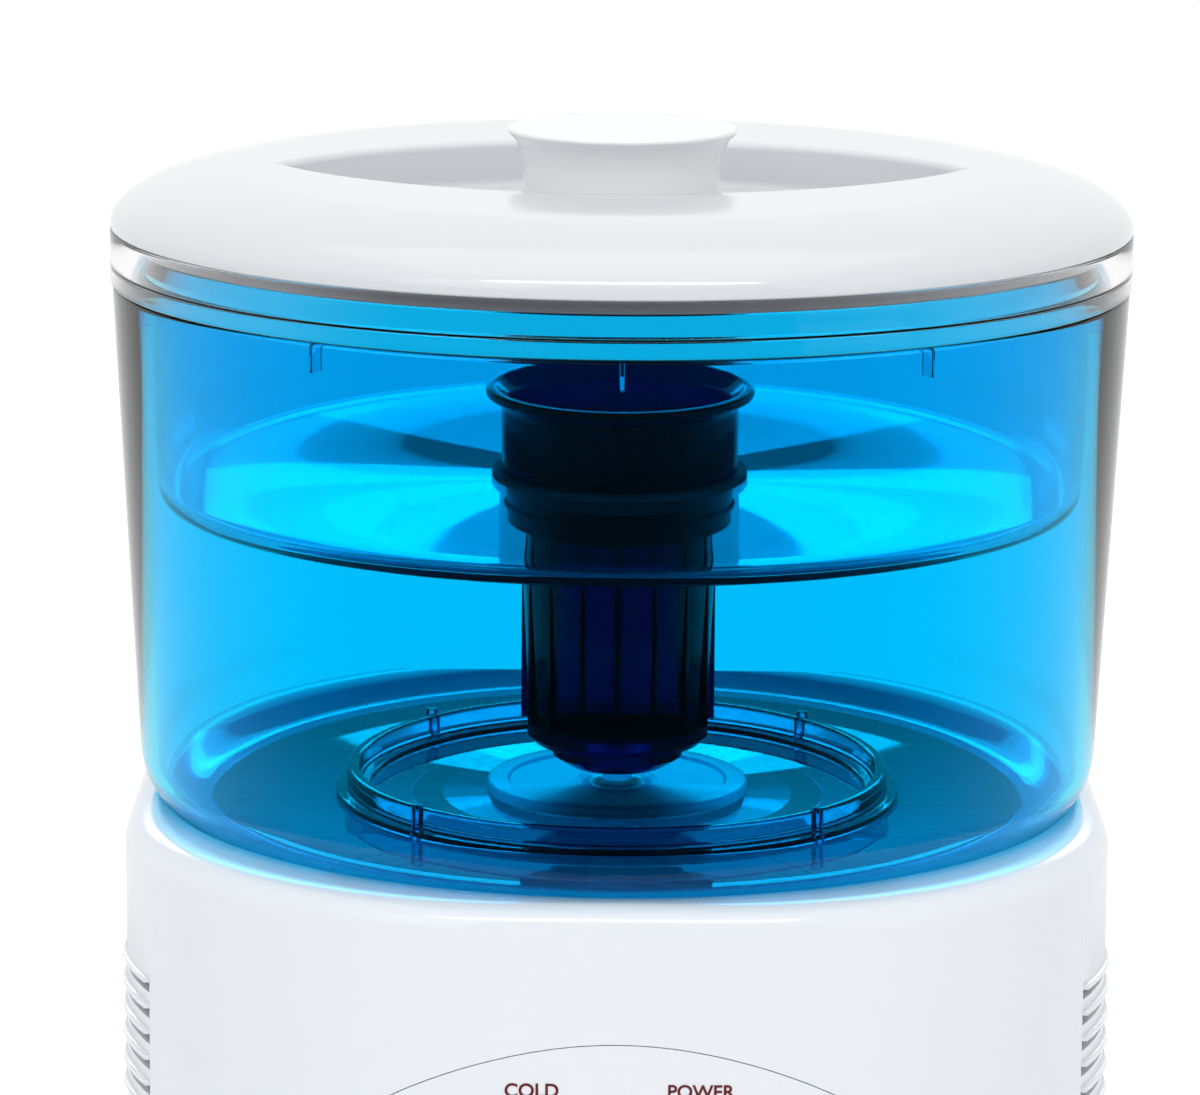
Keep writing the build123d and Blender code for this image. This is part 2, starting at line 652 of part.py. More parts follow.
def mains_inlet():
    """A three-pin appliance inlet: flange outside, body inside, recess with three blades."""
    half_w = INLET_W / 2
    half_h = INLET_H / 2
    x_span = (INLET_X - half_w, INLET_X + half_w)
    z_span = (INLET_Z - half_h, INLET_Z + half_h)
    body = block(x_span, (BODY_BACK - INLET_DEEP, BODY_BACK), z_span)
    wide = (INLET_X - half_w - 3, INLET_X + half_w + 3)
    body += block(wide, (BODY_BACK, BODY_BACK + 2.5), (INLET_Z - half_h - 3, INLET_Z + half_h + 3))
    x_span = (INLET_X - half_w + 2, INLET_X + half_w - 2)
    z_span = (INLET_Z - half_h + 2, INLET_Z + half_h - 2)
    body -= block(x_span, (BODY_BACK - INLET_DEEP + 4, BODY_BACK + 3), z_span)
    for dx, dz in ((-7.0, -2.5), (0.0, 3.0), (7.0, -2.5)):
        x = INLET_X + dx
        z = INLET_Z + dz
        y_span = (BODY_BACK - INLET_DEEP + 3.5, BODY_BACK - 4)
        body += block((x - 1, x + 1), y_span, (z - 2, z + 2))
    return body


def switch_body():
    half_w = SWITCH_W / 2
    half_h = SWITCH_H / 2
    x_span = (INLET_X - half_w, INLET_X + half_w)
    y_span = (BODY_BACK - 18, BODY_BACK)
    body = block(x_span, y_span, (SWITCH_Z - half_h, SWITCH_Z + half_h))
    wide = (INLET_X - half_w - 2, INLET_X + half_w + 2)
    z_span = (SWITCH_Z - half_h - 2, SWITCH_Z + half_h + 2)
    body += block(wide, (BODY_BACK, BODY_BACK + 1.5), z_span)
    x_span = (INLET_X - half_w + 1.5, INLET_X + half_w - 1.5)
    z_span = (SWITCH_Z - half_h + 1.5, SWITCH_Z + half_h - 1.5)
    return body - block(x_span, (BODY_BACK - 9, BODY_BACK + 2), z_span)


def switch_rocker():
    """A cap on a cross pin, tilted to its off side."""
    half_w = SWITCH_W / 2 - 1.5 - FIT
    half_h = SWITCH_H / 2 - 2.2
    cap = block((-half_w, half_w), (-3.0, 3.0), (-half_h, half_h))
    return Pos(INLET_X, BODY_BACK - 1.0, SWITCH_Z) * Rot(-ROCKER_TILT, 0, 0) * cap


def tap_body(x):
    """Shank, valve barrel and spout in one casting."""
    tap = rod(BARREL_R, BARREL_LOW_Z, BARREL_TOP_Z, x, TAP_Y)
    tap += rod_y(SHANK_R, TAP_Y, SHANK_BACK_Y - 12.0, x, TAP_Z)
    tap += rod_y(NIPPLE_R, SHANK_BACK_Y - 13.0, SHANK_BACK_Y + 4.0, x, TAP_Z)
    wall = NICHE_BACK_Y - 1.5
    tap += rod_y(SHANK_R + 6, wall - 3.0, wall, x, TAP_Z)
    tap += rod(SPOUT_R, BARREL_LOW_Z - SPOUT_L, BARREL_LOW_Z + 1, x, TAP_Y)
    tap -= rod(PLUG_R + 1.0, BARREL_LOW_Z + 4.0, BARREL_TOP_Z + 1, x, TAP_Y)
    tap -= rod(SPOUT_R - 2.0, BARREL_LOW_Z - SPOUT_L - 1, BARREL_LOW_Z + 5, x, TAP_Y)
    tap -= rod_y(NIPPLE_R - 1.2, TAP_Y, SHANK_BACK_Y + 5.0, x, TAP_Z)
    return tap


def tap_gasket(x):
    wall = NICHE_BACK_Y
    gasket = rod_y(SHANK_R + 6, wall - 1.5, wall, x, TAP_Z)
    return gasket - rod_y(SHANK_R + 0.1, wall - 2, wall + 1, x, TAP_Z)


def tap_nut(x):
    """The backing nut behind the niche's wall."""
    front = NICHE_BACK_Y + LINER_WALL
    nut = extrude(Plane.XZ.offset(-front - 6.0) * RegularPolygon(13.0, 6), 6.0)
    nut = Pos(x, 0, TAP_Z) * nut
    wider = SHANK_R + 0.1
    return nut - rod_y(wider, front - 1, front + 7, x, TAP_Z)


def tap_bonnet(x):
    """The barrel's cap, with two ears for the lever's pin."""
    cap = rod(BONNET_R, BARREL_TOP_Z, BONNET_TOP_Z, x, TAP_Y)
    for side in (-1, 1):
        inner = x + side * (LEVER_HALF_W + FIT)
        outer = inner + side * EAR_T
        span = sorted((inner, outer))
        y_span = (PIVOT_Y - 3.4, PIVOT_Y + 3.4)
        cap += block(span, y_span, (BONNET_TOP_Z - 2, PIVOT_Z))
        cap += rod_x(3.4, span[0], span[1], PIVOT_Y, PIVOT_Z)
    cap -= rod_x(PIN_R + 0.02, x - 20, x + 20, PIVOT_Y, PIVOT_Z)
    return cap - rod(STEM_R + 0.2, BARREL_TOP_Z - 1, BONNET_TOP_Z + 1, x, TAP_Y)


def lever_pin(x):
    reach = LEVER_HALF_W + FIT + EAR_T
    return rod_x(PIN_R, x - reach - 0.6, x + reach + 0.6, PIVOT_Y, PIVOT_Z)


def tap_lever(x):
    """A finger lever: forked behind its pin, with a wide curved pad in front."""
    half = LEVER_T / 2
    arm = rod_x(3.4, x - LEVER_HALF_W, x + LEVER_HALF_W, PIVOT_Y, PIVOT_Z)
    front = PIVOT_Y - LEVER_L
    x_span = (x - LEVER_HALF_W, x + LEVER_HALF_W)
    fork_end = TAP_Y + 0.4
    arm += block(x_span, (front + 6, fork_end), (PIVOT_Z - half, PIVOT_Z + half))
    pad = rod(9.5, PIVOT_Z - half, PIVOT_Z + half, x, front + 9.5)
    arm += fillet(pad.edges(), 1.2)
    slot = STEM_R + 0.5
    arm -= block((x - slot, x + slot), (TAP_Y - 4.0, fork_end + 1), (0, BODY_TOP))
    return arm - rod_x(PIN_R + RUN, x - 20, x + 20, PIVOT_Y, PIVOT_Z)


def tap_plunger(x):
    """The rubber-faced plug and its stem with a head above the lever's fork."""
    seat = BARREL_LOW_Z + 4.0
    plug = rod(PLUG_R, seat, seat + PLUG_H, x, TAP_Y)
    plug += rod(STEM_R, seat + PLUG_H - 1, PIVOT_Z + LEVER_T / 2 + 1.8, x, TAP_Y)
    low = PIVOT_Z + LEVER_T / 2 + 0.3
    return plug + rod(4.4, low, low + 1.8, x, TAP_Y)


def valve_spring(x):
    low = BARREL_LOW_Z + 4.0 + PLUG_H + 0.1
    height = BARREL_TOP_Z - low - 1.1
    wire = 0.5
    path = Helix(pitch=height / 4, height=height, radius=4.6)
    section = Plane(origin=path @ 0, z_dir=path % 0) * Circle(wire)
    return Pos(x, TAP_Y, low + wire) * sweep(section, path=path, is_frenet=True)


def drip_tray():
    half = NICHE_HALF_W - 0.5
    y_span = (-BODY_D, NICHE_BACK_Y - 0.5)
    tray = block((-half, half), y_span, (DRIP_LOW_Z, DRIP_TOP_Z)) & plan_block(0.6, 0, BODY_TOP)
    inner = half - DRIP_WALL
    y_span = (-BODY_D, NICHE_BACK_Y - 0.5 - DRIP_WALL)
    pocket = block((-inner, inner), y_span, (DRIP_LOW_Z + DRIP_WALL, BODY_TOP))
    return tray - (pocket & plan_block(0.6 + DRIP_WALL, 0, BODY_TOP))


def drip_grille():
    """A slotted cover lying in the tray's mouth on a step of its own rim."""
    inner = NICHE_HALF_W - 0.5 - DRIP_WALL - FIT
    y_span = (-BODY_D, NICHE_BACK_Y - 0.5 - DRIP_WALL - FIT)
    cover = block((-inner, inner), y_span, (DRIP_LOW_Z + DRIP_WALL, DRIP_TOP_Z + 0.4))
    cover &= plan_block(0.6 + DRIP_WALL + FIT, 0, BODY_TOP)
    low = DRIP_TOP_Z + 0.4 - GRILLE_T
    hollow = block((-inner + 1.6, inner - 1.6), (-BODY_D, NICHE_BACK_Y - 4.4), (0, low))
    cover -= hollow & plan_block(0.6 + DRIP_WALL + FIT + 1.6, 0, BODY_TOP)
    pitch = 2 * inner / (GRILLE_SLOTS + 1)
    for i in range(GRILLE_SLOTS):
        x = -inner + (i + 1) * pitch
        deep = BODY_D / 2 - 14 - 0.0018 * x * x
        cover -= block((x - 2.4, x + 2.4), (-deep, NICHE_BACK_Y - 10), (low - 1, BODY_TOP))
    return cover


def filtered_water_tank():
    """The blue pot: a tapered round tank with a soft bottom corner."""
    low_in = TANK_LOW_R - TANK_WALL
    rim = TANK_RIM_Z
    outer = turned([(0, SEAT_Z), (TANK_LOW_R, SEAT_Z), (TANK_TOP_R, rim), (0, rim)])
    outer = fillet(outer.edges().group_by(Axis.Z)[0], TANK_CORNER)
    floor = SEAT_Z + TANK_WALL
    inner = turned([(0, floor), (low_in, floor), (TANK_TOP_R - TANK_WALL, rim + 1), (0, rim + 1)])
    inner = fillet(inner.edges().group_by(Axis.Z)[0], TANK_CORNER - TANK_WALL)
    return outer - inner - rod(OUTLET_R + FIT, 0, BODY_TOP)


def outlet_guard_ring():
    """A low ring clipped to the tank's floor around the outlet."""
    low = SEAT_Z + TANK_WALL
    guard = ring(GUARD_R, GUARD_R - GUARD_WALL, low, low + GUARD_H)
    guard += ring(GUARD_R + 3.0, GUARD_R - GUARD_WALL - 3.0, low, low + 1.6)
    for i in range(4):
        angle = 45 + 90 * i
        clip = Pos(GUARD_R + 1.2, 0, low + GUARD_H / 2 + 1) * Box(4.0, 9.0, GUARD_H + 2)
        guard += Rot(0, 0, angle) * clip
    return guard


def outlet_spigot():
    """The pale outlet disc on the tank's floor and its pipe down into the inlet cup."""
    low = SEAT_Z + TANK_WALL
    disc = rod(OUTLET_DISC_R, low, low + OUTLET_DISC_T)
    disc = fillet(disc.edges().group_by(Axis.Z)[-1], 1.2)
    pipe = rod(OUTLET_R, SEAT_Z - OUTLET_DROP, low + 0.5)
    return disc + pipe - rod(OUTLET_BORE_R, 0, BODY_TOP * 2)


def outlet_seal():
    return ring(12.5, OUTLET_R + 0.2, SEAT_Z - 2.0, SEAT_Z)


def outlet_nut():
    nut = Pos(0, 0, SEAT_Z - 8.0) * extrude(RegularPolygon(15.0, 6), 6.0)
    return nut - rod(OUTLET_R + 0.1, 0, BODY_TOP)


def raw_water_tray():
    """The nested upper tray: it hangs by its flange on the tank's rim."""
    floor = TRAY_FLOOR_Z - TRAY_FLOOR_T
    top = FLANGE_TOP_Z + TRAY_RISE
    outer = turned([(0, floor), (TRAY_LOW_R, floor), (TRAY_TOP_R, top), (0, top)])
    outer = fillet(outer.edges().group_by(Axis.Z)[0], TRAY_CORNER)
    outer += rod(FLANGE_R, TANK_RIM_Z, FLANGE_TOP_Z)
    inner = turned(
        [
            (0, TRAY_FLOOR_Z),
            (TRAY_LOW_R - TRAY_WALL, TRAY_FLOOR_Z),
            (TRAY_TOP_R - TRAY_WALL, top + 1),
            (0, top + 1),
        ]
    )
    inner = fillet(inner.edges().group_by(Axis.Z)[0], TRAY_CORNER - TRAY_WALL)
    tray = outer - inner
    reach = TANK_TOP_R - TANK_WALL - 0.8
    start = TRAY_TOP_R - 1.5
    for i in range(RIB_COUNT):
        rib = block((start, reach), (-RIB_T / 2, RIB_T / 2), (TANK_RIM_Z - RIB_H, TANK_RIM_Z + 1))
        tray += Rot(0, 0, 15 + i * 360 / RIB_COUNT) * rib
    return tray - rod(NECK_R + NECK_GAP, 0, TRAY_FLOOR_Z + 10)


def clear_collar():
    """The colourless ring between the tank's rim and the lid."""
    collar = ring(COLLAR_R, COLLAR_IN_R, FLANGE_TOP_Z, LID_Z)
    low = FLANGE_TOP_Z - COLLAR_SKIRT
    return collar + ring(COLLAR_R, FLANGE_R + FIT, low, FLANGE_TOP_Z + 1)


def cartridge_socket():
    top = TRAY_FLOOR_Z - TRAY_FLOOR_T
    socket = ring(SOCKET_R, NECK_R + NECK_GAP, SOCKET_LOW_Z, top)
    bead = turned(
        [
            (SOCKET_R - 1, SOCKET_LOW_Z + 6),
            (SOCKET_R + 0.9, SOCKET_LOW_Z + 7),
            (SOCKET_R + 0.9, SOCKET_LOW_Z + 8.4),
            (SOCKET_R - 1, SOCKET_LOW_Z + 9.4),
        ]
    )
    return socket + bead


def cartridge_seal():
    return ring(CUP_FOOT_R - 0.4, NECK_R + 0.3, TRAY_FLOOR_Z, CUP_FOOT_Z)


def filter_cup():
    """The wide navy cup with a flared rim, on a neck that goes down through the tray's floor."""
    top = CUP_RIM_Z
    foot = CUP_FOOT_Z
    cup = turned(
        [
            (0, foot),
            (CUP_FOOT_R, foot),
            (CUP_FOOT_R, foot + 2.0),
            (CUP_R - 0.6, foot + 3.0),
            (CUP_R, top - 4.5),
            (CUP_RIM_R - 0.6, top - 2.4),
            (CUP_RIM_R, top - 1.2),
            (CUP_RIM_R - 0.8, top),
            (0, top),
        ]
    )
    cup += rod(NECK_R, SOCKET_LOW_Z, foot + 0.5)
    bowl = turned(
        [
            (0, foot + CUP_FLOOR_T),
            (CUP_R - CUP_WALL - 1, foot + CUP_FLOOR_T),
            (CUP_R - CUP_WALL, top - 4.0),
            (CUP_RIM_R - 2.0, top + 0.5),
            (0, top + 0.5),
        ]
    )
    cup -= bowl
    cup -= rod(NECK_R - CUP_WALL, 0, foot + CUP_FLOOR_T - 2.0)
    for i in range(12):
        angle = math.radians(30 * i + 15)
        x = 19.0 * math.cos(angle)
        y = 19.0 * math.sin(angle)
        cup -= rod(2.6, foot - 1, foot + CUP_FLOOR_T + 1, x, y)
    return cup


def filter_strainer():
    """The spoked screen that lies in the cup."""
    low = CUP_FOOT_Z + CUP_FLOOR_T
    outer = CUP_R - CUP_WALL - 1.5
    screen = ring(outer, outer - 3.0, low, low + 3.0) + ring(9.0, 2.0, low, low + 5.0)
    for i in range(16):
        spoke = block((8.0, outer - 2.0), (-0.7, 0.7), (low, low + 3.0))
        screen += Rot(0, 0, i * 22.5) * spoke
    for radius in (15.0, 21.0):
        screen += ring(radius + 0.7, radius - 0.7, low, low + 2.0)
    return screen


def filter_body():
    """The narrow part of the cartridge, a ribbed closed canister full of filter media."""
    body = turned(
        [
            (0, CARTRIDGE_LOW_Z),
            (CARTRIDGE_LOW_R, CARTRIDGE_LOW_Z),
            (CARTRIDGE_R, SOCKET_LOW_Z - 2),
            (CARTRIDGE_R, SOCKET_LOW_Z),
            (NECK_R - CUP_WALL - FIT, SOCKET_LOW_Z),
            (NECK_R - CUP_WALL - FIT, SOCKET_LOW_Z + 12),
            (0, SOCKET_LOW_Z + 12),
        ]
    )
    for i in range(8):
        z_span = (CARTRIDGE_LOW_Z, SOCKET_LOW_Z - 3)
        rib = block((CARTRIDGE_LOW_R - 2, CARTRIDGE_R + 0.6), (-0.8, 0.8), z_span)
        body += Rot(0, 0, 45 * i + 10) * rib
    return body


def filter_end_cap():
    """The stepped lower cap with water slots round its edge."""
    top = CARTRIDGE_LOW_Z
    cap = turned(
        [
            (0, top - END_CAP_H),
            (14.0, top - END_CAP_H),
            (19.0, top - END_CAP_H + 3.0),
            (19.0, top - END_CAP_H + 5.0),
            (CARTRIDGE_LOW_R - 2.0, top - END_CAP_H + 7.0),
            (CARTRIDGE_LOW_R, top - END_CAP_H + 9.0),
            (CARTRIDGE_LOW_R, top),
            (0, top),
        ]
    )
    for i in range(12):
        notch = block((16.0, 30.0), (-1.4, 1.4), (top - END_CAP_H - 1, top - END_CAP_H + 6.0))
        cap -= Rot(0, 0, 30 * i) * notch
    return cap


def lens(grow=0.0):
    """The plan of the lid's recess: two arcs that meet in points left and right."""
    offset = LENS_R - LENS_HALF_D
    radius = LENS_R + grow
    return Pos(0, offset) * Circle(radius) & Pos(0, -offset) * Circle(radius)


def dome(drop, low):
    """The lid's crowned outline as a solid, lowered by the wall for its inside."""
    top = LENS_TOP_Z - drop
    edge = LID_R - drop
    flat = LID_FLAT_R
    bend = (edge - (edge - flat) * 0.26, 0, top - (LID_RISE - LID_EDGE_H) * 0.40)
    outline = Polyline((edge, 0, LID_Z + LID_EDGE_H - drop), (edge, 0, low), (0, 0, low), (0, 0, top))
    outline += Line((0, 0, top), (flat, 0, top))
    outline += ThreePointArc((flat, 0, top), bend, (edge, 0, LID_Z + LID_EDGE_H - drop))
    return revolve(make_face(outline), Axis.Z)


def lid_shell():
    outer = dome(0.0, LID_Z)
    hollow = dome(LID_WALL, LID_Z - 5)
    tub = Pos(0, 0, LENS_FLOOR_Z - LID_TUB_WALL) * extrude(lens(LID_TUB_WALL), LENS_DEPTH * 2)
    shell = outer - (hollow - tub)
    shell -= Pos(0, 0, LENS_FLOOR_Z) * extrude(lens(), LENS_DEPTH * 2)
    skirt_r = COLLAR_IN_R - FIT * 2
    shell += ring(skirt_r, skirt_r - 2.5, LID_Z - LID_SKIRT_DROP, LID_Z + 6.0)
    for y in (-LID_SCREW_Y, LID_SCREW_Y):
        shell -= rod(SCREW_R + 0.2, 0, LENS_FLOOR_Z + 1, 0, y)
    return shell


def lid_grip():
    """The round waisted knob in the recess that the fingers pinch."""
    top = LENS_TOP_Z + GRIP_RISE
    grip = turned(
        [
            (0, LENS_FLOOR_Z),
            (GRIP_NECK_R, LENS_FLOOR_Z),
            (GRIP_NECK_R + 2.0, top - 10.5),
            (GRIP_NECK_R + 3.2, top - 5.5),
            (GRIP_R, top - 2.6),
            (GRIP_R, top - 2.0),
            (GRIP_R - 0.9, top - 1.2),
            (GRIP_R * 0.6, top - 0.3),
            (0, top),
        ]
    )
    for y in (-LID_SCREW_Y, LID_SCREW_Y):
        grip -= rod(SCREW_R + RUN, LENS_FLOOR_Z - 1, LENS_FLOOR_Z + 10, 0, y)
    return grip


def lid_grip_screws():
    low = LENS_FLOOR_Z - LID_TUB_WALL - SCREW_HEAD_T
    return [Pos(0, y, low) * screw(10.0) for y in (-LID_SCREW_Y, LID_SCREW_Y)]


def main():
    os.makedirs("parts", exist_ok=True)
    save("body_shell", body_shell())
    save("front_panel", front_panel())
    save("rear_panel", rear_panel())
    save("niche_liner", niche_liner())
    save("base_plate", base_plate())
    save("feet", *[foot(x, y) for x, y in boss_places()])
    save("case_screws", *case_screws())
    save("lamp_lenses", lamp_lens(-LAMP_X), lamp_lens(LAMP_X))
    save("lamp_board", lamp_board())
    save("inlet_cup", inlet_cup())
    save("cold_tank", cold_tank())
    save("cold_tank_lid", cold_tank_lid())
    save("cold_tank_insulation", cold_tank_insulation())
    save("cold_block", cold_block())
    save("thermoelectric_module", thermoelectric_module())
    save("heat_sink", heat_sink())
    save("fan_frame", fan_frame())
    save("fan_rotor", fan_rotor())
    save("feed_tube", feed_tube())
    save("room_tube", room_tube())
    save("cold_tube", cold_tube())
    save("drain_tube", drain_tube())
    save("drain_fitting", drain_fitting())
    save("drain_plug", drain_plug())
    save("board_bracket", board_bracket())
    save("power_board", power_board())
    save("mains_inlet", mains_inlet())
    save("switch_body", switch_body())
    save("switch_rocker", switch_rocker())
    places = {"cold": -TAP_X, "room": TAP_X}
    for name, x in places.items():
        save(f"{name}_tap_body", tap_body(x))
        save(f"{name}_lever", tap_lever(x))
        save(f"{name}_plunger", tap_plunger(x))
        save(f"{name}_valve_spring", valve_spring(x))
    save("tap_gaskets", *[tap_gasket(x) for x in places.values()])
    save("tap_nuts", *[tap_nut(x) for x in places.values()])
    save("tap_bonnets", *[tap_bonnet(x) for x in places.values()])
    save("lever_pins", *[lever_pin(x) for x in places.values()])
    save("drip_tray", drip_tray())
    save("drip_grille", drip_grille())
    save("filtered_water_tank", filtered_water_tank())
    save("outlet_guard_ring", outlet_guard_ring())
    save("outlet_spigot", outlet_spigot())
    save("outlet_seal", outlet_seal())
    save("outlet_nut", outlet_nut())
    save("raw_water_tray", raw_water_tray())
    save("clear_collar", clear_collar())
    save("cartridge_socket", cartridge_socket())
    save("cartridge_seal", cartridge_seal())
    save("filter_cup", filter_cup())
    save("filter_strainer", filter_strainer())
    save("filter_body", filter_body())
    save("filter_end_cap", filter_end_cap())
    save("lid_shell", lid_shell())
    save("lid_grip", lid_grip())
    save("lid_grip_screws", *lid_grip_screws())


main()
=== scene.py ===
"""Looks for the countertop water dispenser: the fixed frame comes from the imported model, and each
operator below makes one piece or group of like pieces around it. Metres, +Z up, front to -Y."""

import json
import math

import bmesh
import bpy
from bpy.props import FloatProperty, FloatVectorProperty, IntProperty, PointerProperty
from mathutils import Matrix, Vector

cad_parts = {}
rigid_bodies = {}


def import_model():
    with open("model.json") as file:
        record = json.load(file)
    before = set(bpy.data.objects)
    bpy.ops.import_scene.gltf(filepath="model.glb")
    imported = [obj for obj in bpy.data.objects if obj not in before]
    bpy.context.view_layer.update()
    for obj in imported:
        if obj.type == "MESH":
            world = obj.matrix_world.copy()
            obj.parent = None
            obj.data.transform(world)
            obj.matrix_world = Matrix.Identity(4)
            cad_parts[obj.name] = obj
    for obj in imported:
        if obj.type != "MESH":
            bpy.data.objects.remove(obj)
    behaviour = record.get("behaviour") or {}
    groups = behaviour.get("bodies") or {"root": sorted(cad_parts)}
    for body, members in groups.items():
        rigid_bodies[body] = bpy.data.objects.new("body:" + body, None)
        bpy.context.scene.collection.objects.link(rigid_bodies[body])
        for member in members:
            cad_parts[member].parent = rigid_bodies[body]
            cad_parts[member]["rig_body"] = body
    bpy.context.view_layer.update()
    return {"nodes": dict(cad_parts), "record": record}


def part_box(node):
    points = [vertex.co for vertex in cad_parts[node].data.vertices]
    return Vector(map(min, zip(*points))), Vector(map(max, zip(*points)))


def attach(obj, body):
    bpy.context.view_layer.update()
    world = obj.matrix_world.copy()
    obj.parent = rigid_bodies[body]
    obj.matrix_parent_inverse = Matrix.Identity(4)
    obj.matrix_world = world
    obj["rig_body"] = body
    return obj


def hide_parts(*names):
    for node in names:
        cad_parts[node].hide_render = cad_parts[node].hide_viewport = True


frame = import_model()

bl_info = {
    "name": "Countertop water dispenser",
    "version": (1, 0, 0),
    "blender": (4, 5, 0),
    "location": "View3D > Sidebar > Dispenser",
    "description": "Builds the water pot, filter, lid, chiller body details and studio",
    "category": "Object",
}

ROUND_STEPS = 256
NODES = frame["nodes"]


def low(node):
    """The lowest corner of a node's box."""
    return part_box(node)[0]


def high(node):
    """The highest corner of a node's box."""
    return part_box(node)[1]


# ---- settings ------------------------------------------------------------------------------


def length(name, description, default):
    """A size in metres."""
    return FloatProperty(name=name, description=description, default=default, min=0.0, unit="LENGTH")


def colour(name, description, default):
    """A linear colour."""
    return FloatVectorProperty(
        name=name, description=description, default=default, size=3, min=0.0, max=1.0, subtype="COLOR"
    )


class DispenserPot(bpy.types.PropertyGroup):
    """Sizes of the water pot's moulded pieces."""

    tank_wall: length("Tank wall", "Thickness of the blue tank", 0.004)
    tank_corner: length("Tank corner", "Radius of the tank's bottom corner", 0.020)
    tank_rim_roll: length("Rim roll", "Rounding of the tank's rim", 0.0012)
    tray_wall: length("Tray wall", "Thickness of the upper tray", 0.0025)
    tray_corner: length("Tray corner", "Radius of the tray's floor corner", 0.008)
    rib_count: IntProperty(name="Ribs", description="Ribs round the tray", default=10, min=3)
    rib_height: length("Rib height", "Height of the tray's ribs", 0.009)
    rib_thickness: length("Rib thickness", "Thickness of the tray's ribs", 0.0012)
    canister_top: length("Canister top", "Radius of the cartridge under its socket", 0.028)
    canister_foot: length("Canister foot", "Radius of the cartridge at its end cap", 0.0264)
    cup_wall: length("Cup wall", "Thickness of the filter cup", 0.0022)
    ring_radius: length("Ring radius", "Outer radius of the ring on the tank's floor", 0.079)
    collar_wall: length("Collar wall", "Radial thickness of the clear collar", 0.0068)


class DispenserLid(bpy.types.PropertyGroup):
    """Sizes of the lid and its grip."""

    flat_radius: length("Flat radius", "Where the lid's crown starts to fall", 0.106)
    edge_height: length("Edge height", "Height of the lid's straight edge", 0.0012)
    wall: length("Wall", "Thickness of the lid", 0.0026)
    lens_radius: length("Recess radius", "Radius of the two arcs round the recess", 0.1114)
    lens_half_depth: length("Recess half depth", "Half the recess, front to back", 0.0575)
    lens_roll: length("Recess roll", "Rounding of the recess's edge", 0.0020)
    floor_roll: length("Floor roll", "Rounding of the recess's floor corner", 0.0030)
    grip_neck: length("Grip neck", "Radius of the grip where it stands in the recess", 0.027)
    grip_roll: length("Grip roll", "Rounding of the grip's edge", 0.0010)
    crease_radius: length("Crease radius", "Radius of the soft crease round the lid", 0.1155)
    crease_drop: length("Crease drop", "How far the crown falls before the crease", 0.0007)
    tub_wall: length("Recess wall", "Thickness of the lid round its recess", 0.0022)


class DispenserFinish(bpy.types.PropertyGroup):
    """Colours of the dispenser's finishes."""

    tank_tint: colour("Tank tint", "Blue of the lower tank", (0.008, 0.72, 0.995))
    tray_tint: colour("Tray tint", "Blue of the upper tray", (0.16, 0.80, 0.92))
    navy_tint: colour("Cartridge tint", "Navy of the filter cartridge", (0.002, 0.001, 0.03))
    shell_white: colour("Shell white", "White of the chiller body", (0.83, 0.85, 0.88))
    # The lid's own white, set darker than the body's white as painted shade, to take back light that the
    # strong strip lamp throws on the lid
    lid_white: colour("Lid white", "White of the lid", (0.70, 0.715, 0.73))
    label_red: colour("Label red", "Dark red of the printed words", (0.16, 0.012, 0.012))


class DispenserStudio(bpy.types.PropertyGroup):
    """The camera and the lamps."""

    lens: FloatProperty(name="Lens", description="Focal length in mm", default=173.6)
    distance: length("Distance", "Camera to the pot's axis", 1.644)
    height: length("Height", "Camera above the worktop", 0.7674)
    aside: length("Aside", "Camera left of the pot's axis", 0.0055)
    pitch: FloatProperty(name="Pitch", description="Camera tilt", default=math.radians(11.27),
                         subtype="ANGLE")
    roll: FloatProperty(name="Roll", description="Camera roll", default=math.radians(0.44),
                        subtype="ANGLE")
    floor_radius: length("Floor radius", "Radius of the pale floor", 4.0)
    key_power: FloatProperty(name="Key", description="Key lamp in watts", default=4.0)
    fill_power: FloatProperty(name="Fill", description="Fill lamp in watts", default=1.8)
    top_power: FloatProperty(name="Top", description="Top lamp in watts", default=3.0)
    strip_power: FloatProperty(name="Strip", description="Strip lamp in watts", default=9.0)
    glow_power: FloatProperty(name="Glow", description="Lamp low behind the tray in watts", default=0.3)
    back_power: FloatProperty(name="Back", description="Lamp behind the pot in watts", default=5.0)


# ---- mesh helpers --------------------------------------------------------------------------


def add_object(name, mesh):
    """Links a mesh to the scene as an object at the origin."""
    made = bpy.data.objects.new(name, mesh)
    bpy.context.scene.collection.objects.link(made)
    return made


def smooth(mesh, degrees=34.0):
    """Smooth shading, with edges kept sharp where faces meet more steeply."""
    mesh.polygons.foreach_set("use_smooth", [True] * len(mesh.polygons))
    mesh.set_sharp_from_angle(angle=math.radians(degrees))
    mesh.update()


def skin(name, loops, ring=False):
    """Skins loops of equal length in order; a loop of one point is a pole. A ring joins its ends."""
    vertices = []
    starts = []
    for loop in loops:
        starts.append(len(vertices))
        vertices.extend(loop)
    pairs = list(zip(range(len(loops)), range(1, len(loops))))
    if ring:
        pairs.append((len(loops) - 1, 0))
    faces = []
    for a, b in pairs:
        count = max(len(loops[a]), len(loops[b]))
        for i in range(count):
            j = (i + 1) % count
            if len(loops[a]) == 1:
                faces.append((starts[a], starts[b] + j, starts[b] + i))
            elif len(loops[b]) == 1:
                faces.append((starts[a] + i, starts[a] + j, starts[b]))
            else:
                faces.append((starts[a] + i, starts[a] + j, starts[b] + j, starts[b] + i))
    mesh = bpy.data.meshes.new(name)
    mesh.from_pydata(vertices, [], faces)
    face_out(mesh)
    return mesh


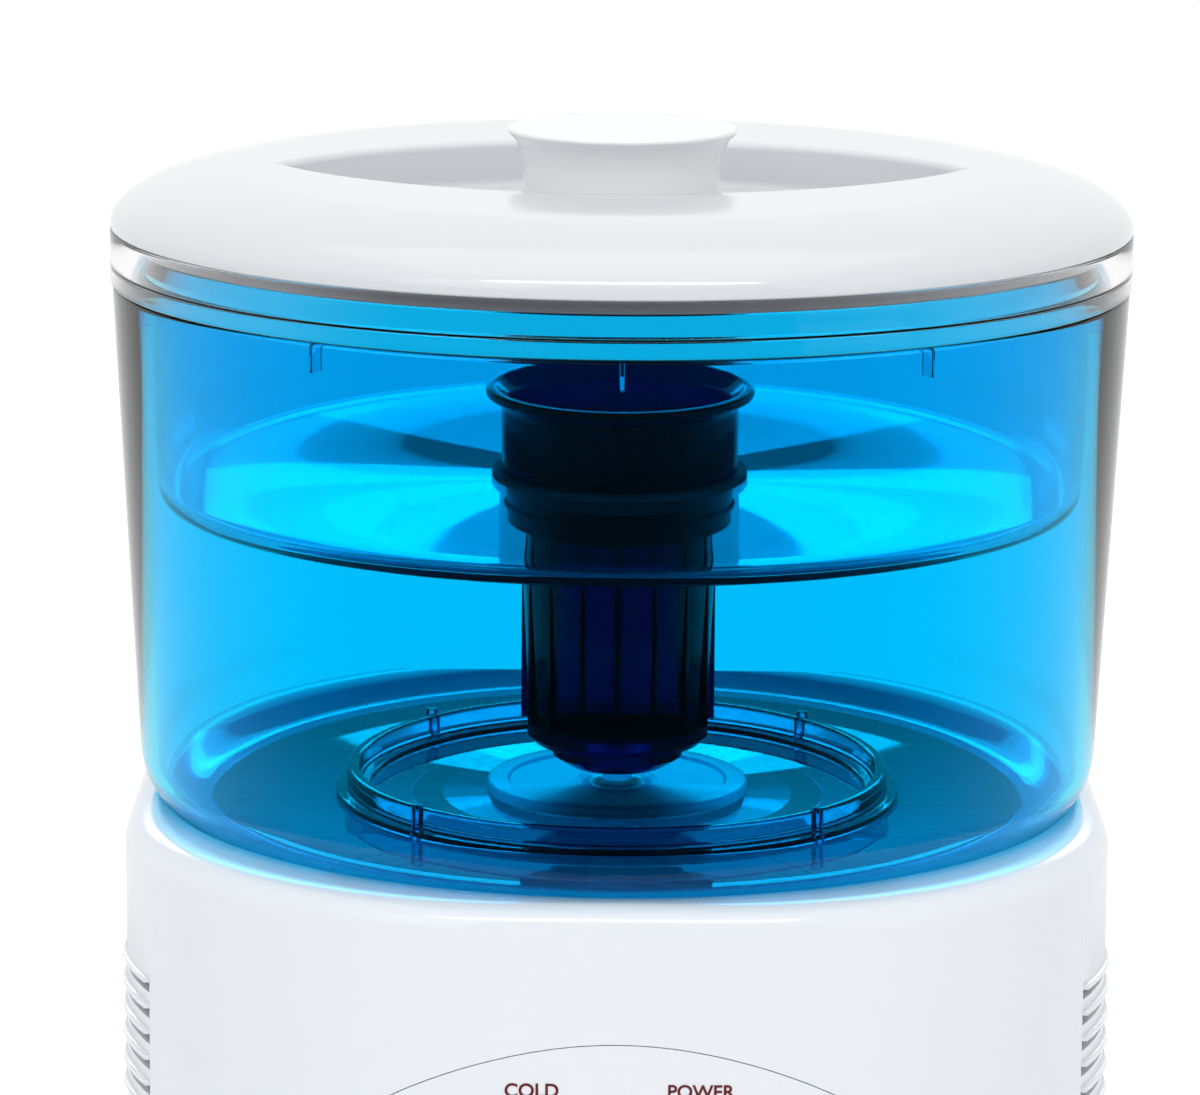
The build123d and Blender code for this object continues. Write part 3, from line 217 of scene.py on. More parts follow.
def face_out(mesh):
    """Merges doubles and turns every face outwards."""
    work = bmesh.new()
    work.from_mesh(mesh)
    bmesh.ops.remove_doubles(work, verts=work.verts, dist=1e-7)
    bmesh.ops.recalc_face_normals(work, faces=work.faces)
    work.to_mesh(mesh)
    work.free()


def circle(radius, z, steps=ROUND_STEPS):
    """A loop of points round the pot's axis, or its pole when the radius is nothing."""
    if radius < 1e-9:
        return [(0.0, 0.0, z)]
    turn = 2 * math.pi / steps
    return [(radius * math.cos(i * turn), radius * math.sin(i * turn), z) for i in range(steps)]


def rounded(corners, steps=6):
    """An outline of (radius, height, roll) corners with each roll drawn as an arc."""
    outline = []
    count = len(corners)
    for i, (r, z, roll) in enumerate(corners):
        here = Vector((r, z))
        if roll <= 0:
            outline.append((r, z))
            continue
        before = Vector(corners[i - 1][:2]) - here
        after = Vector(corners[(i + 1) % count][:2]) - here
        half = before.angle(after) / 2
        reach = min(roll / math.tan(half), 0.49 * before.length, 0.49 * after.length)
        fitted = reach * math.tan(half)
        start = here + before.normalized() * reach
        end = here + after.normalized() * reach
        middle = here + (before.normalized() + after.normalized()).normalized() * (
            fitted / math.sin(half)
        )
        a = start - middle
        b = end - middle
        sweep = a.angle(b)
        side = 1.0 if a.x * b.y - a.y * b.x > 0 else -1.0
        for k in range(steps + 1):
            turn = side * sweep * k / steps
            c = math.cos(turn)
            s = math.sin(turn)
            outline.append((middle.x + a.x * c - a.y * s, middle.y + a.x * s + a.y * c))
    return outline


def lathe(name, corners, steps=ROUND_STEPS, sharp=34.0):
    """A turned piece from its closed outline; ends on the axis are closed as poles."""
    outline = rounded(corners)
    loops = [circle(max(r, 0.0), z, steps) for r, z in outline]
    on_axis = len(loops[0]) == 1 and len(loops[-1]) == 1
    mesh = skin(name, loops, ring=not on_axis)
    smooth(mesh, sharp)
    return add_object(name, mesh)


def bar(name, spans):
    """A plain bar between limits along X, Y and Z, used as the piece that an array repeats."""
    mesh = bpy.data.meshes.new(name)
    work = bmesh.new()
    size = Vector([b - a for a, b in spans])
    middle = Vector([(a + b) / 2 for a, b in spans])
    place = Matrix.Translation(middle) @ Matrix.Diagonal(size).to_4x4()
    bmesh.ops.create_cube(work, size=1.0, matrix=place)
    work.to_mesh(mesh)
    work.free()
    return add_object(name, mesh)


def bevel(piece, width, segments=3, degrees=30.0):
    """Rounds the piece's edges and applies the result."""
    modifier = piece.modifiers.new("round_edges", "BEVEL")
    modifier.width = width
    modifier.segments = segments
    modifier.limit_method = "ANGLE"
    modifier.angle_limit = math.radians(degrees)
    bake_modifiers(piece)
    smooth(piece.data)
    return piece


def bake_modifiers(piece):
    """Turns the evaluated piece into its plain mesh."""
    depsgraph = bpy.context.evaluated_depsgraph_get()
    depsgraph.update()
    mesh = bpy.data.meshes.new_from_object(piece.evaluated_get(depsgraph))
    piece.modifiers.clear()
    piece.data = mesh
    return piece


def repeat_tree():
    """Geometry Nodes: copies of a piece, each moved and turned a step on from the last."""
    tree = bpy.data.node_groups.get("repeat_piece")
    if tree:
        return tree
    tree = bpy.data.node_groups.new("repeat_piece", "GeometryNodeTree")
    face = tree.interface
    face.new_socket("Piece", in_out="INPUT", socket_type="NodeSocketObject")
    face.new_socket("Count", in_out="INPUT", socket_type="NodeSocketInt")
    face.new_socket("Step", in_out="INPUT", socket_type="NodeSocketVector")
    face.new_socket("Start turn", in_out="INPUT", socket_type="NodeSocketFloat")
    face.new_socket("Turn step", in_out="INPUT", socket_type="NodeSocketFloat")
    face.new_socket("Material", in_out="INPUT", socket_type="NodeSocketMaterial")
    face.new_socket("Geometry", in_out="OUTPUT", socket_type="NodeSocketGeometry")
    nodes = tree.nodes
    link = tree.links.new
    given = nodes.new("NodeGroupInput")
    points = nodes.new("GeometryNodePoints")
    index = nodes.new("GeometryNodeInputIndex")
    info = nodes.new("GeometryNodeObjectInfo")
    info.transform_space = "ORIGINAL"
    scale = nodes.new("ShaderNodeVectorMath")
    scale.operation = "SCALE"
    turn = nodes.new("ShaderNodeMath")
    turn.operation = "MULTIPLY_ADD"
    spin = nodes.new("ShaderNodeCombineXYZ")
    instance = nodes.new("GeometryNodeInstanceOnPoints")
    realize = nodes.new("GeometryNodeRealizeInstances")
    paint = nodes.new("GeometryNodeSetMaterial")
    result = nodes.new("NodeGroupOutput")
    link(given.outputs["Piece"], info.inputs["Object"])
    link(given.outputs["Count"], points.inputs["Count"])
    link(given.outputs["Step"], scale.inputs[0])
    link(index.outputs[0], scale.inputs["Scale"])
    link(scale.outputs[0], points.inputs["Position"])
    link(index.outputs[0], turn.inputs[0])
    link(given.outputs["Turn step"], turn.inputs[1])
    link(given.outputs["Start turn"], turn.inputs[2])
    link(turn.outputs[0], spin.inputs["Z"])
    link(points.outputs[0], instance.inputs["Points"])
    link(info.outputs["Geometry"], instance.inputs["Instance"])
    link(spin.outputs[0], instance.inputs["Rotation"])
    link(instance.outputs[0], realize.inputs[0])
    link(realize.outputs[0], paint.inputs["Geometry"])
    link(given.outputs["Material"], paint.inputs["Material"])
    link(paint.outputs[0], result.inputs[0])
    return tree


def copies(name, piece, count, step=(0, 0, 0), start=0.0, turn=0.0, material=None):
    """A plain mesh of the piece repeated by the array tree; the single piece is removed."""
    made = add_object(name, bpy.data.meshes.new(name))
    modifier = made.modifiers.new("repeat", "NODES")
    tree = repeat_tree()
    modifier.node_group = tree
    values = {
        "Piece": piece,
        "Count": count,
        "Step": step,
        "Start turn": start,
        "Turn step": turn,
        "Material": material,
    }
    for socket in tree.interface.items_tree:
        if socket.in_out == "INPUT" and values[socket.name] is not None:
            modifier[socket.identifier] = values[socket.name]
    bake_modifiers(made)
    bpy.data.objects.remove(piece)
    smooth(made.data)
    return made


def settle(piece, body, material, replaces=()):
    """Gives a finished piece its body and material, and hides the nodes it stands for."""
    if material is not None:
        piece.data.materials.clear()
        piece.data.materials.append(material)
    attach(piece, body)
    if replaces:
        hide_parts(*replaces)
    return piece


# ---- materials -----------------------------------------------------------------------------


def blank(name):
    """A material with one principled shader on its output."""
    material = bpy.data.materials.new(name)
    material.use_nodes = True
    return material, material.node_tree.nodes["Principled BSDF"]


def grain(material, scale, detail=3.0, stretch=(1.0, 1.0, 1.0)):
    """Noise in the piece's own coordinates, as a 0 to 1 output."""
    nodes = material.node_tree.nodes
    link = material.node_tree.links.new
    place = nodes.new("ShaderNodeTexCoord")
    mapping = nodes.new("ShaderNodeMapping")
    mapping.inputs["Scale"].default_value = stretch
    noise = nodes.new("ShaderNodeTexNoise")
    noise.inputs["Scale"].default_value = scale
    noise.inputs["Detail"].default_value = detail
    link(place.outputs["Object"], mapping.inputs["Vector"])
    link(mapping.outputs[0], noise.inputs["Vector"])
    return noise.outputs["Fac"]


def spread(material, source, lowest, highest):
    """Maps a 0 to 1 output to a range."""
    remap = material.node_tree.nodes.new("ShaderNodeMapRange")
    remap.inputs["To Min"].default_value = lowest
    remap.inputs["To Max"].default_value = highest
    material.node_tree.links.new(source, remap.inputs["Value"])
    return remap.outputs[0]


def two_tone(material, source, first, second):
    """Mixes two colours by a 0 to 1 output."""
    mix = material.node_tree.nodes.new("ShaderNodeMix")
    mix.data_type = "RGBA"
    mix.inputs[6].default_value = (*first, 1.0)
    mix.inputs[7].default_value = (*second, 1.0)
    material.node_tree.links.new(source, mix.inputs[0])
    return mix.outputs[2]


def emboss(material, shader, source, distance, strength=1.0):
    """Small relief in the surface."""
    bump = material.node_tree.nodes.new("ShaderNodeBump")
    bump.inputs["Strength"].default_value = strength
    bump.inputs["Distance"].default_value = distance
    material.node_tree.links.new(source, bump.inputs["Height"])
    material.node_tree.links.new(bump.outputs[0], shader.inputs["Normal"])


def shade(base, factor):
    """A colour made darker or lighter by a factor."""
    return tuple(min(1.0, channel * factor) for channel in base)


def moulded(name, base, rough=(0.22, 0.30), texture=900.0, depth=0.00002, coat=0.0, vary=0.97):
    """Injection-moulded plastic: an even colour, a faint flow mottling and a fine skin."""
    material, shader = blank(name)
    link = material.node_tree.links.new
    flow = grain(material, 14.0, 2.0)
    link(two_tone(material, flow, shade(base, vary), base), shader.inputs["Base Color"])
    link(spread(material, grain(material, 60.0), *rough), shader.inputs["Roughness"])
    shader.inputs["Coat Weight"].default_value = coat
    shader.inputs["Coat Roughness"].default_value = 0.08
    emboss(material, shader, grain(material, texture, 2.0), depth)
    return material


def clear(name, tint, shadow, rough=(0.01, 0.03), ior=1.28, ripple=0.000005):
    """See-through moulded plastic. Lamps shine through it with a tint."""
    material, shader = blank(name)
    nodes = material.node_tree.nodes
    link = material.node_tree.links.new
    flow = grain(material, 9.0, 2.0, (1.0, 1.0, 2.5))
    link(two_tone(material, flow, shade(tint, 0.985), tint), shader.inputs["Base Color"])
    link(spread(material, grain(material, 45.0), *rough), shader.inputs["Roughness"])
    shader.inputs["Transmission Weight"].default_value = 1.0
    shader.inputs["IOR"].default_value = ior
    emboss(material, shader, grain(material, 35.0, 1.0), ripple)
    path = nodes.new("ShaderNodeLightPath")
    through = nodes.new("ShaderNodeBsdfTransparent")
    through.inputs["Color"].default_value = (*shadow, 1.0)
    choose = nodes.new("ShaderNodeMixShader")
    link(path.outputs["Is Shadow Ray"], choose.inputs[0])
    link(shader.outputs[0], choose.inputs[1])
    link(through.outputs[0], choose.inputs[2])
    link(choose.outputs[0], nodes["Material Output"].inputs["Surface"])
    return material


def metal(name, base, rough=(0.22, 0.38), stretch=(1.0, 1.0, 30.0), depth=0.000008):
    """Drawn or brushed metal with fine lines along one way."""
    material, shader = blank(name)
    link = material.node_tree.links.new
    lines = grain(material, 260.0, 4.0, stretch)
    link(two_tone(material, lines, shade(base, 0.86), base), shader.inputs["Base Color"])
    link(spread(material, lines, *rough), shader.inputs["Roughness"])
    shader.inputs["Metallic"].default_value = 1.0
    emboss(material, shader, lines, depth)
    return material


def soft(name, base, rough=(0.55, 0.8), texture=500.0, depth=0.00006):
    """Rubber, silicone or foam."""
    material, shader = blank(name)
    link = material.node_tree.links.new
    cloud = grain(material, 90.0, 5.0)
    link(two_tone(material, cloud, shade(base, 0.8), base), shader.inputs["Base Color"])
    link(spread(material, grain(material, 120.0), *rough), shader.inputs["Roughness"])
    emboss(material, shader, grain(material, texture, 6.0), depth)
    return material


def circuit(name):
    """Solder-resist green with paler tracks."""
    material, shader = blank(name)
    nodes = material.node_tree.nodes
    link = material.node_tree.links.new
    place = nodes.new("ShaderNodeTexCoord")
    tracks = nodes.new("ShaderNodeTexBrick")
    tracks.inputs["Scale"].default_value = 220.0
    tracks.inputs["Mortar Size"].default_value = 0.06
    tracks.inputs["Color1"].default_value = (0.015, 0.13, 0.045, 1.0)
    tracks.inputs["Color2"].default_value = (0.02, 0.16, 0.055, 1.0)
    tracks.inputs["Mortar"].default_value = (0.09, 0.34, 0.13, 1.0)
    link(place.outputs["Object"], tracks.inputs["Vector"])
    link(tracks.outputs["Color"], shader.inputs["Base Color"])
    link(spread(material, grain(material, 150.0), 0.25, 0.45), shader.inputs["Roughness"])
    return material


def palette():
    """Every finish of the dispenser, keyed by its slot."""
    ready = bpy.data.materials.get("tank_blue_plastic")
    if ready:
        return {m["slot"]: m for m in bpy.data.materials if "slot" in m}
    tones = bpy.context.scene.dispenser_finish
    tank = tuple(tones.tank_tint)
    tray = tuple(tones.tray_tint)
    white = tuple(tones.shell_white)
    made = {
        "body_white": moulded("shell_white_plastic", white, (0.20, 0.27), 700.0, 0.00001, 0.25),
        # Lid white: its own white, set darker than the body's white as painted shade against the strong
        # strip lamp
        "lid_white": moulded("lid_white_plastic", tuple(tones.lid_white), (0.14, 0.2), 500.0, 5e-6, 0.5),
        "tank_blue": clear("tank_blue_plastic", tank, (0.55, 0.86, 0.98)),
        "tray_blue": clear("tray_blue_plastic", tray, (0.60, 0.90, 0.98)),
        "collar_clear": clear("collar_clear_plastic", (0.985, 0.975, 0.985), (0.94, 0.93, 0.94)),
        "filter_navy": clear("cartridge_navy_plastic", tuple(tones.navy_tint), (0.02, 0.02, 0.12),
                             (0.08, 0.16)),
        "screen_grey": moulded("strainer_grey_plastic", (0.30, 0.38, 0.62), (0.3, 0.45)),
        "outlet_pale": clear("outlet_pale_plastic", (0.80, 0.92, 0.98), (0.7, 0.85, 0.95), (0.25, 0.4)),
        "inner_grey": moulded("inner_grey_plastic", (0.50, 0.52, 0.55), (0.4, 0.55)),
        "niche_grey": moulded("niche_grey_plastic", (0.60, 0.62, 0.65), (0.28, 0.4), 600.0, 0.00003),
        "drip_grey": moulded("drip_grey_plastic", (0.50, 0.52, 0.55), (0.3, 0.42), 600.0, 0.00003),
        "rubber_dark": soft("dark_rubber", (0.05, 0.05, 0.055)),
        "silicone": soft("milky_silicone", (0.80, 0.81, 0.80), (0.35, 0.5), 300.0, 0.00002),
        "steel": metal("drawn_steel", (0.62, 0.62, 0.63)),
        "zinc_screw": metal("zinc_plate", (0.66, 0.65, 0.62), (0.25, 0.4), (1.0, 1.0, 1.0)),
        "aluminium": metal("milled_aluminium", (0.75, 0.76, 0.77), (0.3, 0.45)),
        "foam": soft("dark_foam", (0.10, 0.10, 0.11), (0.8, 0.95), 800.0, 0.0004),
        "black_plastic": moulded("black_plastic", (0.03, 0.03, 0.033), (0.35, 0.5), 1200.0, 0.00004),
        "circuit_green": circuit("circuit_green"),
        "ceramic_white": moulded("white_ceramic", (0.82, 0.81, 0.77), (0.4, 0.6)),
        "lamp_lens": clear("lamp_lens_plastic", (0.80, 0.93, 0.96), (0.8, 0.9, 0.95), (0.05, 0.12)),
        "cold_blue": moulded("cold_blue_plastic", (0.02, 0.16, 0.62), (0.2, 0.28), coat=0.4),
        "room_white": moulded("tap_white_plastic", (0.80, 0.80, 0.79), (0.2, 0.3), coat=0.3),
    }
    for slot, material in made.items():
        material["slot"] = slot
    return made


# ---- pieces --------------------------------------------------------------------------------


class DISPENSER_OT_frame_finish(bpy.types.Operator):
    """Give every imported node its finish"""

    bl_idname = "dispenser.frame_finish"
    bl_label = "Frame finishes"

    def execute(self, context):
        finishes = palette()
        slots = {s["node"]: s["material_slot"] for s in frame["record"]["subparts"]}
        for name, node in NODES.items():
            node.data.materials.clear()
            node.data.materials.append(finishes[slots[name]])
        return {"FINISHED"}


SHELLS = {
    "body_shell": 24.0,
    "front_panel": 24.0,
    "niche_liner": 24.0,
    "drip_tray": 24.0,
    "drip_grille": 24.0,
    "cold_tap_body": 30.0,
    "room_tap_body": 30.0,
    "tap_bonnets": 30.0,
    "cold_lever": 30.0,
    "room_lever": 30.0,
    "cold_plunger": 30.0,
    "room_plunger": 30.0,
    "feet": 30.0,
    "drain_plug": 30.0,
    "drain_fitting": 30.0,
    "rear_panel": 30.0,
    "base_plate": 30.0,
}


class DISPENSER_OT_smooth_shells(bpy.types.Operator):
    """Copy the moulded shells, merge their loose triangles and shade them smoothly"""

    bl_idname = "dispenser.smooth_shells"
    bl_label = "Smooth shells"

    def execute(self, context):
        finishes = palette()
        slots = {s["node"]: s["material_slot"] for s in frame["record"]["subparts"]}
        for name, angle in SHELLS.items():
            node = NODES[name]
            mesh = node.data.copy()
            work = bmesh.new()
            work.from_mesh(mesh)
            bmesh.ops.remove_doubles(work, verts=work.verts, dist=1e-6)
            work.to_mesh(mesh)
            work.free()
            smooth(mesh, angle)
            piece = add_object(f"{name}_smooth", mesh)
            settle(piece, node["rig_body"], finishes[slots[name]], [name])
        return {"FINISHED"}


class DISPENSER_OT_tank(bpy.types.Operator):
    """Turn the blue filtered-water tank"""

    bl_idname = "dispenser.tank"
    bl_label = "Filtered-water tank"

    def execute(self, context):
        pot = context.scene.dispenser_pot
        floor = low("filtered_water_tank").z
        rim = high("filtered_water_tank").z
        top_r = high("filtered_water_tank").x
        low_r = top_r * 0.9444
        wall = pot.tank_wall
        bore = high("outlet_spigot").x * 0.192
        corners = [
            (bore, floor, 0.0005),
            (low_r, floor, pot.tank_corner),
            (top_r, rim, pot.tank_rim_roll),
            (top_r - wall, rim, pot.tank_rim_roll),
            (low_r - wall, floor + wall, pot.tank_corner - wall),
            (bore, floor + wall, 0.0005),
        ]
        tank = lathe("tank_turned", corners)
        settle(tank, "pot", palette()["tank_blue"], ["filtered_water_tank"])
        return {"FINISHED"}


class DISPENSER_OT_tray(bpy.types.Operator):
    """Turn the upper tray with its hanging flange and its row of ribs"""

    bl_idname = "dispenser.tray"
    bl_label = "Raw-water tray"

    def execute(self, context):
        pot = context.scene.dispenser_pot
        blue = palette()["tray_blue"]
        floor = low("raw_water_tray").z
        top = high("raw_water_tray").z
        flange_r = high("raw_water_tray").x
        flange_low = high("filtered_water_tank").z
        flange_top = low("clear_collar").z + 0.0046
        reach = high("filtered_water_tank").x - pot.tank_wall - 0.0008
        wall = pot.tray_wall
        top_r = reach - 0.0036
        low_r = top_r - 0.0026
        neck = high("cartridge_seal").x - 0.0066
        corners = [
            (neck, floor, 0.0004),
            (low_r, floor, pot.tray_corner),
            (top_r - 0.0002, flange_low, 0.0006),
            (flange_r, flange_low, 0.0006),
            (flange_r, flange_top, 0.0006),
            (top_r, flange_top, 0.0006),
            (top_r, top, 0.0008),
            (top_r - wall, top, 0.0008),
            (low_r - wall, high("cartridge_socket").z + 0.003, pot.tray_corner - wall),
            (neck, high("cartridge_socket").z + 0.003, 0.0004),
        ]
        tray = lathe("tray_turned", corners)
        settle(tray, "tray", blue, ["raw_water_tray"])
        half = pot.rib_thickness / 2
        drop = flange_low - pot.rib_height
        rib = bar("rib", ((top_r - 0.0006, reach), (-half, half), (drop, flange_low)))
        bevel(rib, 0.0004, 2)
        turn = 2 * math.pi / pot.rib_count
        ribs = copies("tray_ribs", rib, pot.rib_count, start=-math.pi / 2, turn=turn, material=blue)
        settle(ribs, "tray", None)
        return {"FINISHED"}


class DISPENSER_OT_collar(bpy.types.Operator):
    """Turn the colourless collar between the pot and the lid"""

    bl_idname = "dispenser.collar"
    bl_label = "Clear collar"

    def execute(self, context):
        pot = context.scene.dispenser_pot
        skirt = low("clear_collar").z
        top = high("clear_collar").z
        outer = high("clear_collar").x
        ledge = skirt + 0.0046
        cover = high("raw_water_tray").x + 0.0003
        inner = outer - pot.collar_wall
        corners = [
            (cover, skirt, 0.0003),
            (outer, skirt, 0.0006),
            (outer, top, 0.0010),
            (inner, top, 0.0008),
            (inner, ledge, 0.0004),
            (cover, ledge, 0.0003),
        ]
        collar = lathe("collar_turned", corners)
        settle(collar, "tray", palette()["collar_clear"], ["clear_collar"])
        return {"FINISHED"}


def lens_loop(radius, offset, grow, z, scale=1.0, steps=ROUND_STEPS):
    """A loop round the recess: a front arc and a back arc that meet in points."""
    reach = radius + grow
    limit = math.acos(offset / reach)
    half = steps // 2
    loop = []
    for side in (1, -1):
        for i in range(half):
            angle = -limit + 2 * limit * i / half
            x = reach * math.sin(angle) * side
            y = (offset - reach * math.cos(angle)) * side
            loop.append((x * scale, y * scale, z))
    return loop


def round_loop(radius, z, steps=ROUND_STEPS):
    """A circle that starts at the left and runs the same way round as the recess's loop."""
    turn = 2 * math.pi / steps
    return [
        (radius * math.cos(math.pi + i * turn), radius * math.sin(math.pi + i * turn), z)
        for i in range(steps)
    ]


def between(first, second, share):
    """A loop part of the way from one loop to another."""
    return [tuple(a + (b - a) * share for a, b in zip(p, q)) for p, q in zip(first, second)]


class DISPENSER_OT_lid(bpy.types.Operator):
    """Skin the domed lid round its lens-shaped recess"""

    bl_idname = "dispenser.lid"
    bl_label = "Lid shell"

    def execute(self, context):
        lid = context.scene.dispenser_lid
        seat = high("clear_collar").z
        top = high("lid_shell").z
        edge_r = high("lid_shell").x
        skirt_low = low("lid_shell").z
        floor = low("lid_grip").z
        offset = lid.lens_radius - lid.lens_half_depth

        def lens(grow, z, scale=1.0):
            return lens_loop(lid.lens_radius, offset, grow, z, scale)

        loops = [[(0.0, 0.0, floor)], lens(0, floor, 0.3), lens(0, floor, 0.6), lens(0, floor, 0.85)]
        quarter = [math.radians(a) for a in range(0, 91, 15)]
        roll = lid.floor_roll
        for a in quarter:
            loops.append(lens(roll * (math.sin(a) - 1), floor + roll * (1 - math.cos(a))))
        roll = lid.lens_roll
        for a in quarter:
            loops.append(lens(roll * (1 - math.cos(a)), top - roll + roll * math.sin(a)))
        inside = loops[-1]
        outside = round_loop(lid.flat_radius, top)
        crease_z = top - lid.crease_drop
        for share in (0.15, 0.35, 0.6, 0.85, 1.0):
            loops.append(between(inside, outside, share))
        fall = edge_r - lid.flat_radius
        rise = top - seat - lid.edge_height
        for share in (0.35, 0.7, 1.0):
            radius = lid.flat_radius + (lid.crease_radius - lid.flat_radius) * share
            loops.append(round_loop(radius, top - lid.crease_drop * share**2))
        fall_out = edge_r - lid.crease_radius
        drop = crease_z - seat - lid.edge_height
        for i in range(1, 25):
            start = math.radians(22)
            angle = start + math.radians(68 * i / 24)
            out = (math.sin(angle) - math.sin(start)) / (1 - math.sin(start))
            down = (math.cos(start) - math.cos(angle)) / math.cos(start)
            radius = lid.crease_radius + fall_out * out
            loops.append(round_loop(radius, crease_z - drop * down))
        loops.append(round_loop(edge_r, seat + 0.0005))
        loops.append(round_loop(edge_r - 0.0005, seat))
        skirt_r = high("clear_collar").x - context.scene.dispenser_pot.collar_wall - 0.0006
        loops.append(round_loop(skirt_r, seat))
        loops.append(round_loop(skirt_r - 0.0001, skirt_low + 0.0006))
        loops.append(round_loop(skirt_r - 0.0007, skirt_low))
        loops.append(round_loop(skirt_r - 0.0025, skirt_low))
        loops.append(round_loop(skirt_r - 0.0025, seat + 0.006))
        under = top - lid.wall
        for i in range(5, -1, -1):
            angle = math.radians(62 * i / 5)
            radius = lid.flat_radius - lid.wall + fall * math.sin(angle)
            loops.append(round_loop(min(radius, skirt_r - 0.0026), seat + rise * math.cos(angle)))
        tub = lid.tub_wall
        flat = round_loop(lid.flat_radius - 0.008, under)
        for share in (0.0, 0.5):
            loops.append(between(flat, lens(tub, under), share))
        loops.append(lens(tub, under))
        loops.append(lens(tub, floor - tub))
        loops.append(lens(0, floor - tub, 0.6))
        loops.append([(0.0, 0.0, floor - tub)])
        mesh = skin("lid_skinned", loops)
        smooth(mesh, 40.0)
        shell = add_object("lid_skinned", mesh)
        settle(shell, "lid", palette()["lid_white"], ["lid_shell"])
        return {"FINISHED"}


class DISPENSER_OT_grip(bpy.types.Operator):
    """Turn the waisted knob that stands in the lid's recess"""

    bl_idname = "dispenser.grip"
    bl_label = "Lid grip"

    def execute(self, context):
        lid = context.scene.dispenser_lid
        floor = low("lid_grip").z
        top = high("lid_grip").z
        radius = high("lid_grip").x
        neck = lid.grip_neck
        corners = [
            (0.0, floor, 0.0),
            (neck + 0.0012, floor, 0.0),
            (neck, floor + 0.0012, 0.0008),
            (neck + 0.0016, top - 0.0105, 0.012),
            (neck + 0.0034, top - 0.0050, 0.004),
            (radius, top - 0.0024, 0.0006),
            (radius - 0.0004, top - 0.0013, lid.grip_roll),
            (radius * 0.55, top - 0.0003, 0.02),
            (0.0, top, 0.0),
        ]
        grip = lathe("grip_turned", corners, sharp=50.0)
        # Painted light: the grip is the lid's white plastic, set much brighter than the lid's white so
        # that its faces, shaded inside the recess, look as light as the lid
        grip_painted_light = moulded("grip_white_plastic", (0.90, 0.905, 0.91), (0.14, 0.2), 500.0, 5e-6, 0.5)
        settle(grip, "lid", grip_painted_light, ["lid_grip"])
        return {"FINISHED"}


class DISPENSER_OT_guard_ring(bpy.types.Operator):
    """Turn the low ring on the tank's floor, with its clips"""

    bl_idname = "dispenser.guard_ring"
    bl_label = "Outlet guard ring"

    def execute(self, context):
        blue = palette()["tank_blue"]
        floor = low("outlet_guard_ring").z
        top = floor + 0.0075
        outer = context.scene.dispenser_pot.ring_radius
        inner = outer - 0.004
        corners = [
            (inner - 0.003, floor, 0.0003),
            (outer + 0.003, floor, 0.0003),
            (outer + 0.003, floor + 0.0016, 0.0005),
            (outer, floor + 0.0016, 0.0008),
            (outer - 0.0003, top, 0.001),
            (inner + 0.0003, top, 0.001),
            (inner, floor + 0.0016, 0.0008),
            (inner - 0.003, floor + 0.0016, 0.0005),
        ]
        ring = lathe("guard_ring_turned", corners)
        settle(ring, "pot", blue, ["outlet_guard_ring"])
        spans = ((outer - 0.0008, outer + 0.0018), (-0.0014, 0.0014), (floor, top + 0.0012))
        clip = bevel(bar("clip", spans), 0.0004, 2)
        clips = copies("guard_clips", clip, 4, start=math.radians(45), turn=math.pi / 2, material=blue)
        settle(clips, "pot", None)
        return {"FINISHED"}


class DISPENSER_OT_outlet(bpy.types.Operator):
    """Turn the pale outlet disc and its pipe"""

    bl_idname = "dispenser.outlet"
    bl_label = "Outlet disc"

    def execute(self, context):
        bottom = low("outlet_spigot").z
        top = high("outlet_spigot").z
        radius = high("outlet_spigot").x
        corners = [
            (0.0045, bottom, 0.0004),
            (0.007, bottom, 0.0006),
            (0.007, top - 0.003, 0.0),
            (radius, top - 0.003, 0.0004),
            (radius, top, 0.0012),
            (radius - 0.006, top, 0.0006),
            (radius - 0.0068, top - 0.0008, 0.0004),
            (0.012, top - 0.0008, 0.0006),
            (0.010, top, 0.0006),
            (0.0045, top, 0.0006),
        ]
        disc = lathe("outlet_disc_turned", corners)
        settle(disc, "pot", palette()["outlet_pale"], ["outlet_spigot"])
        return {"FINISHED"}


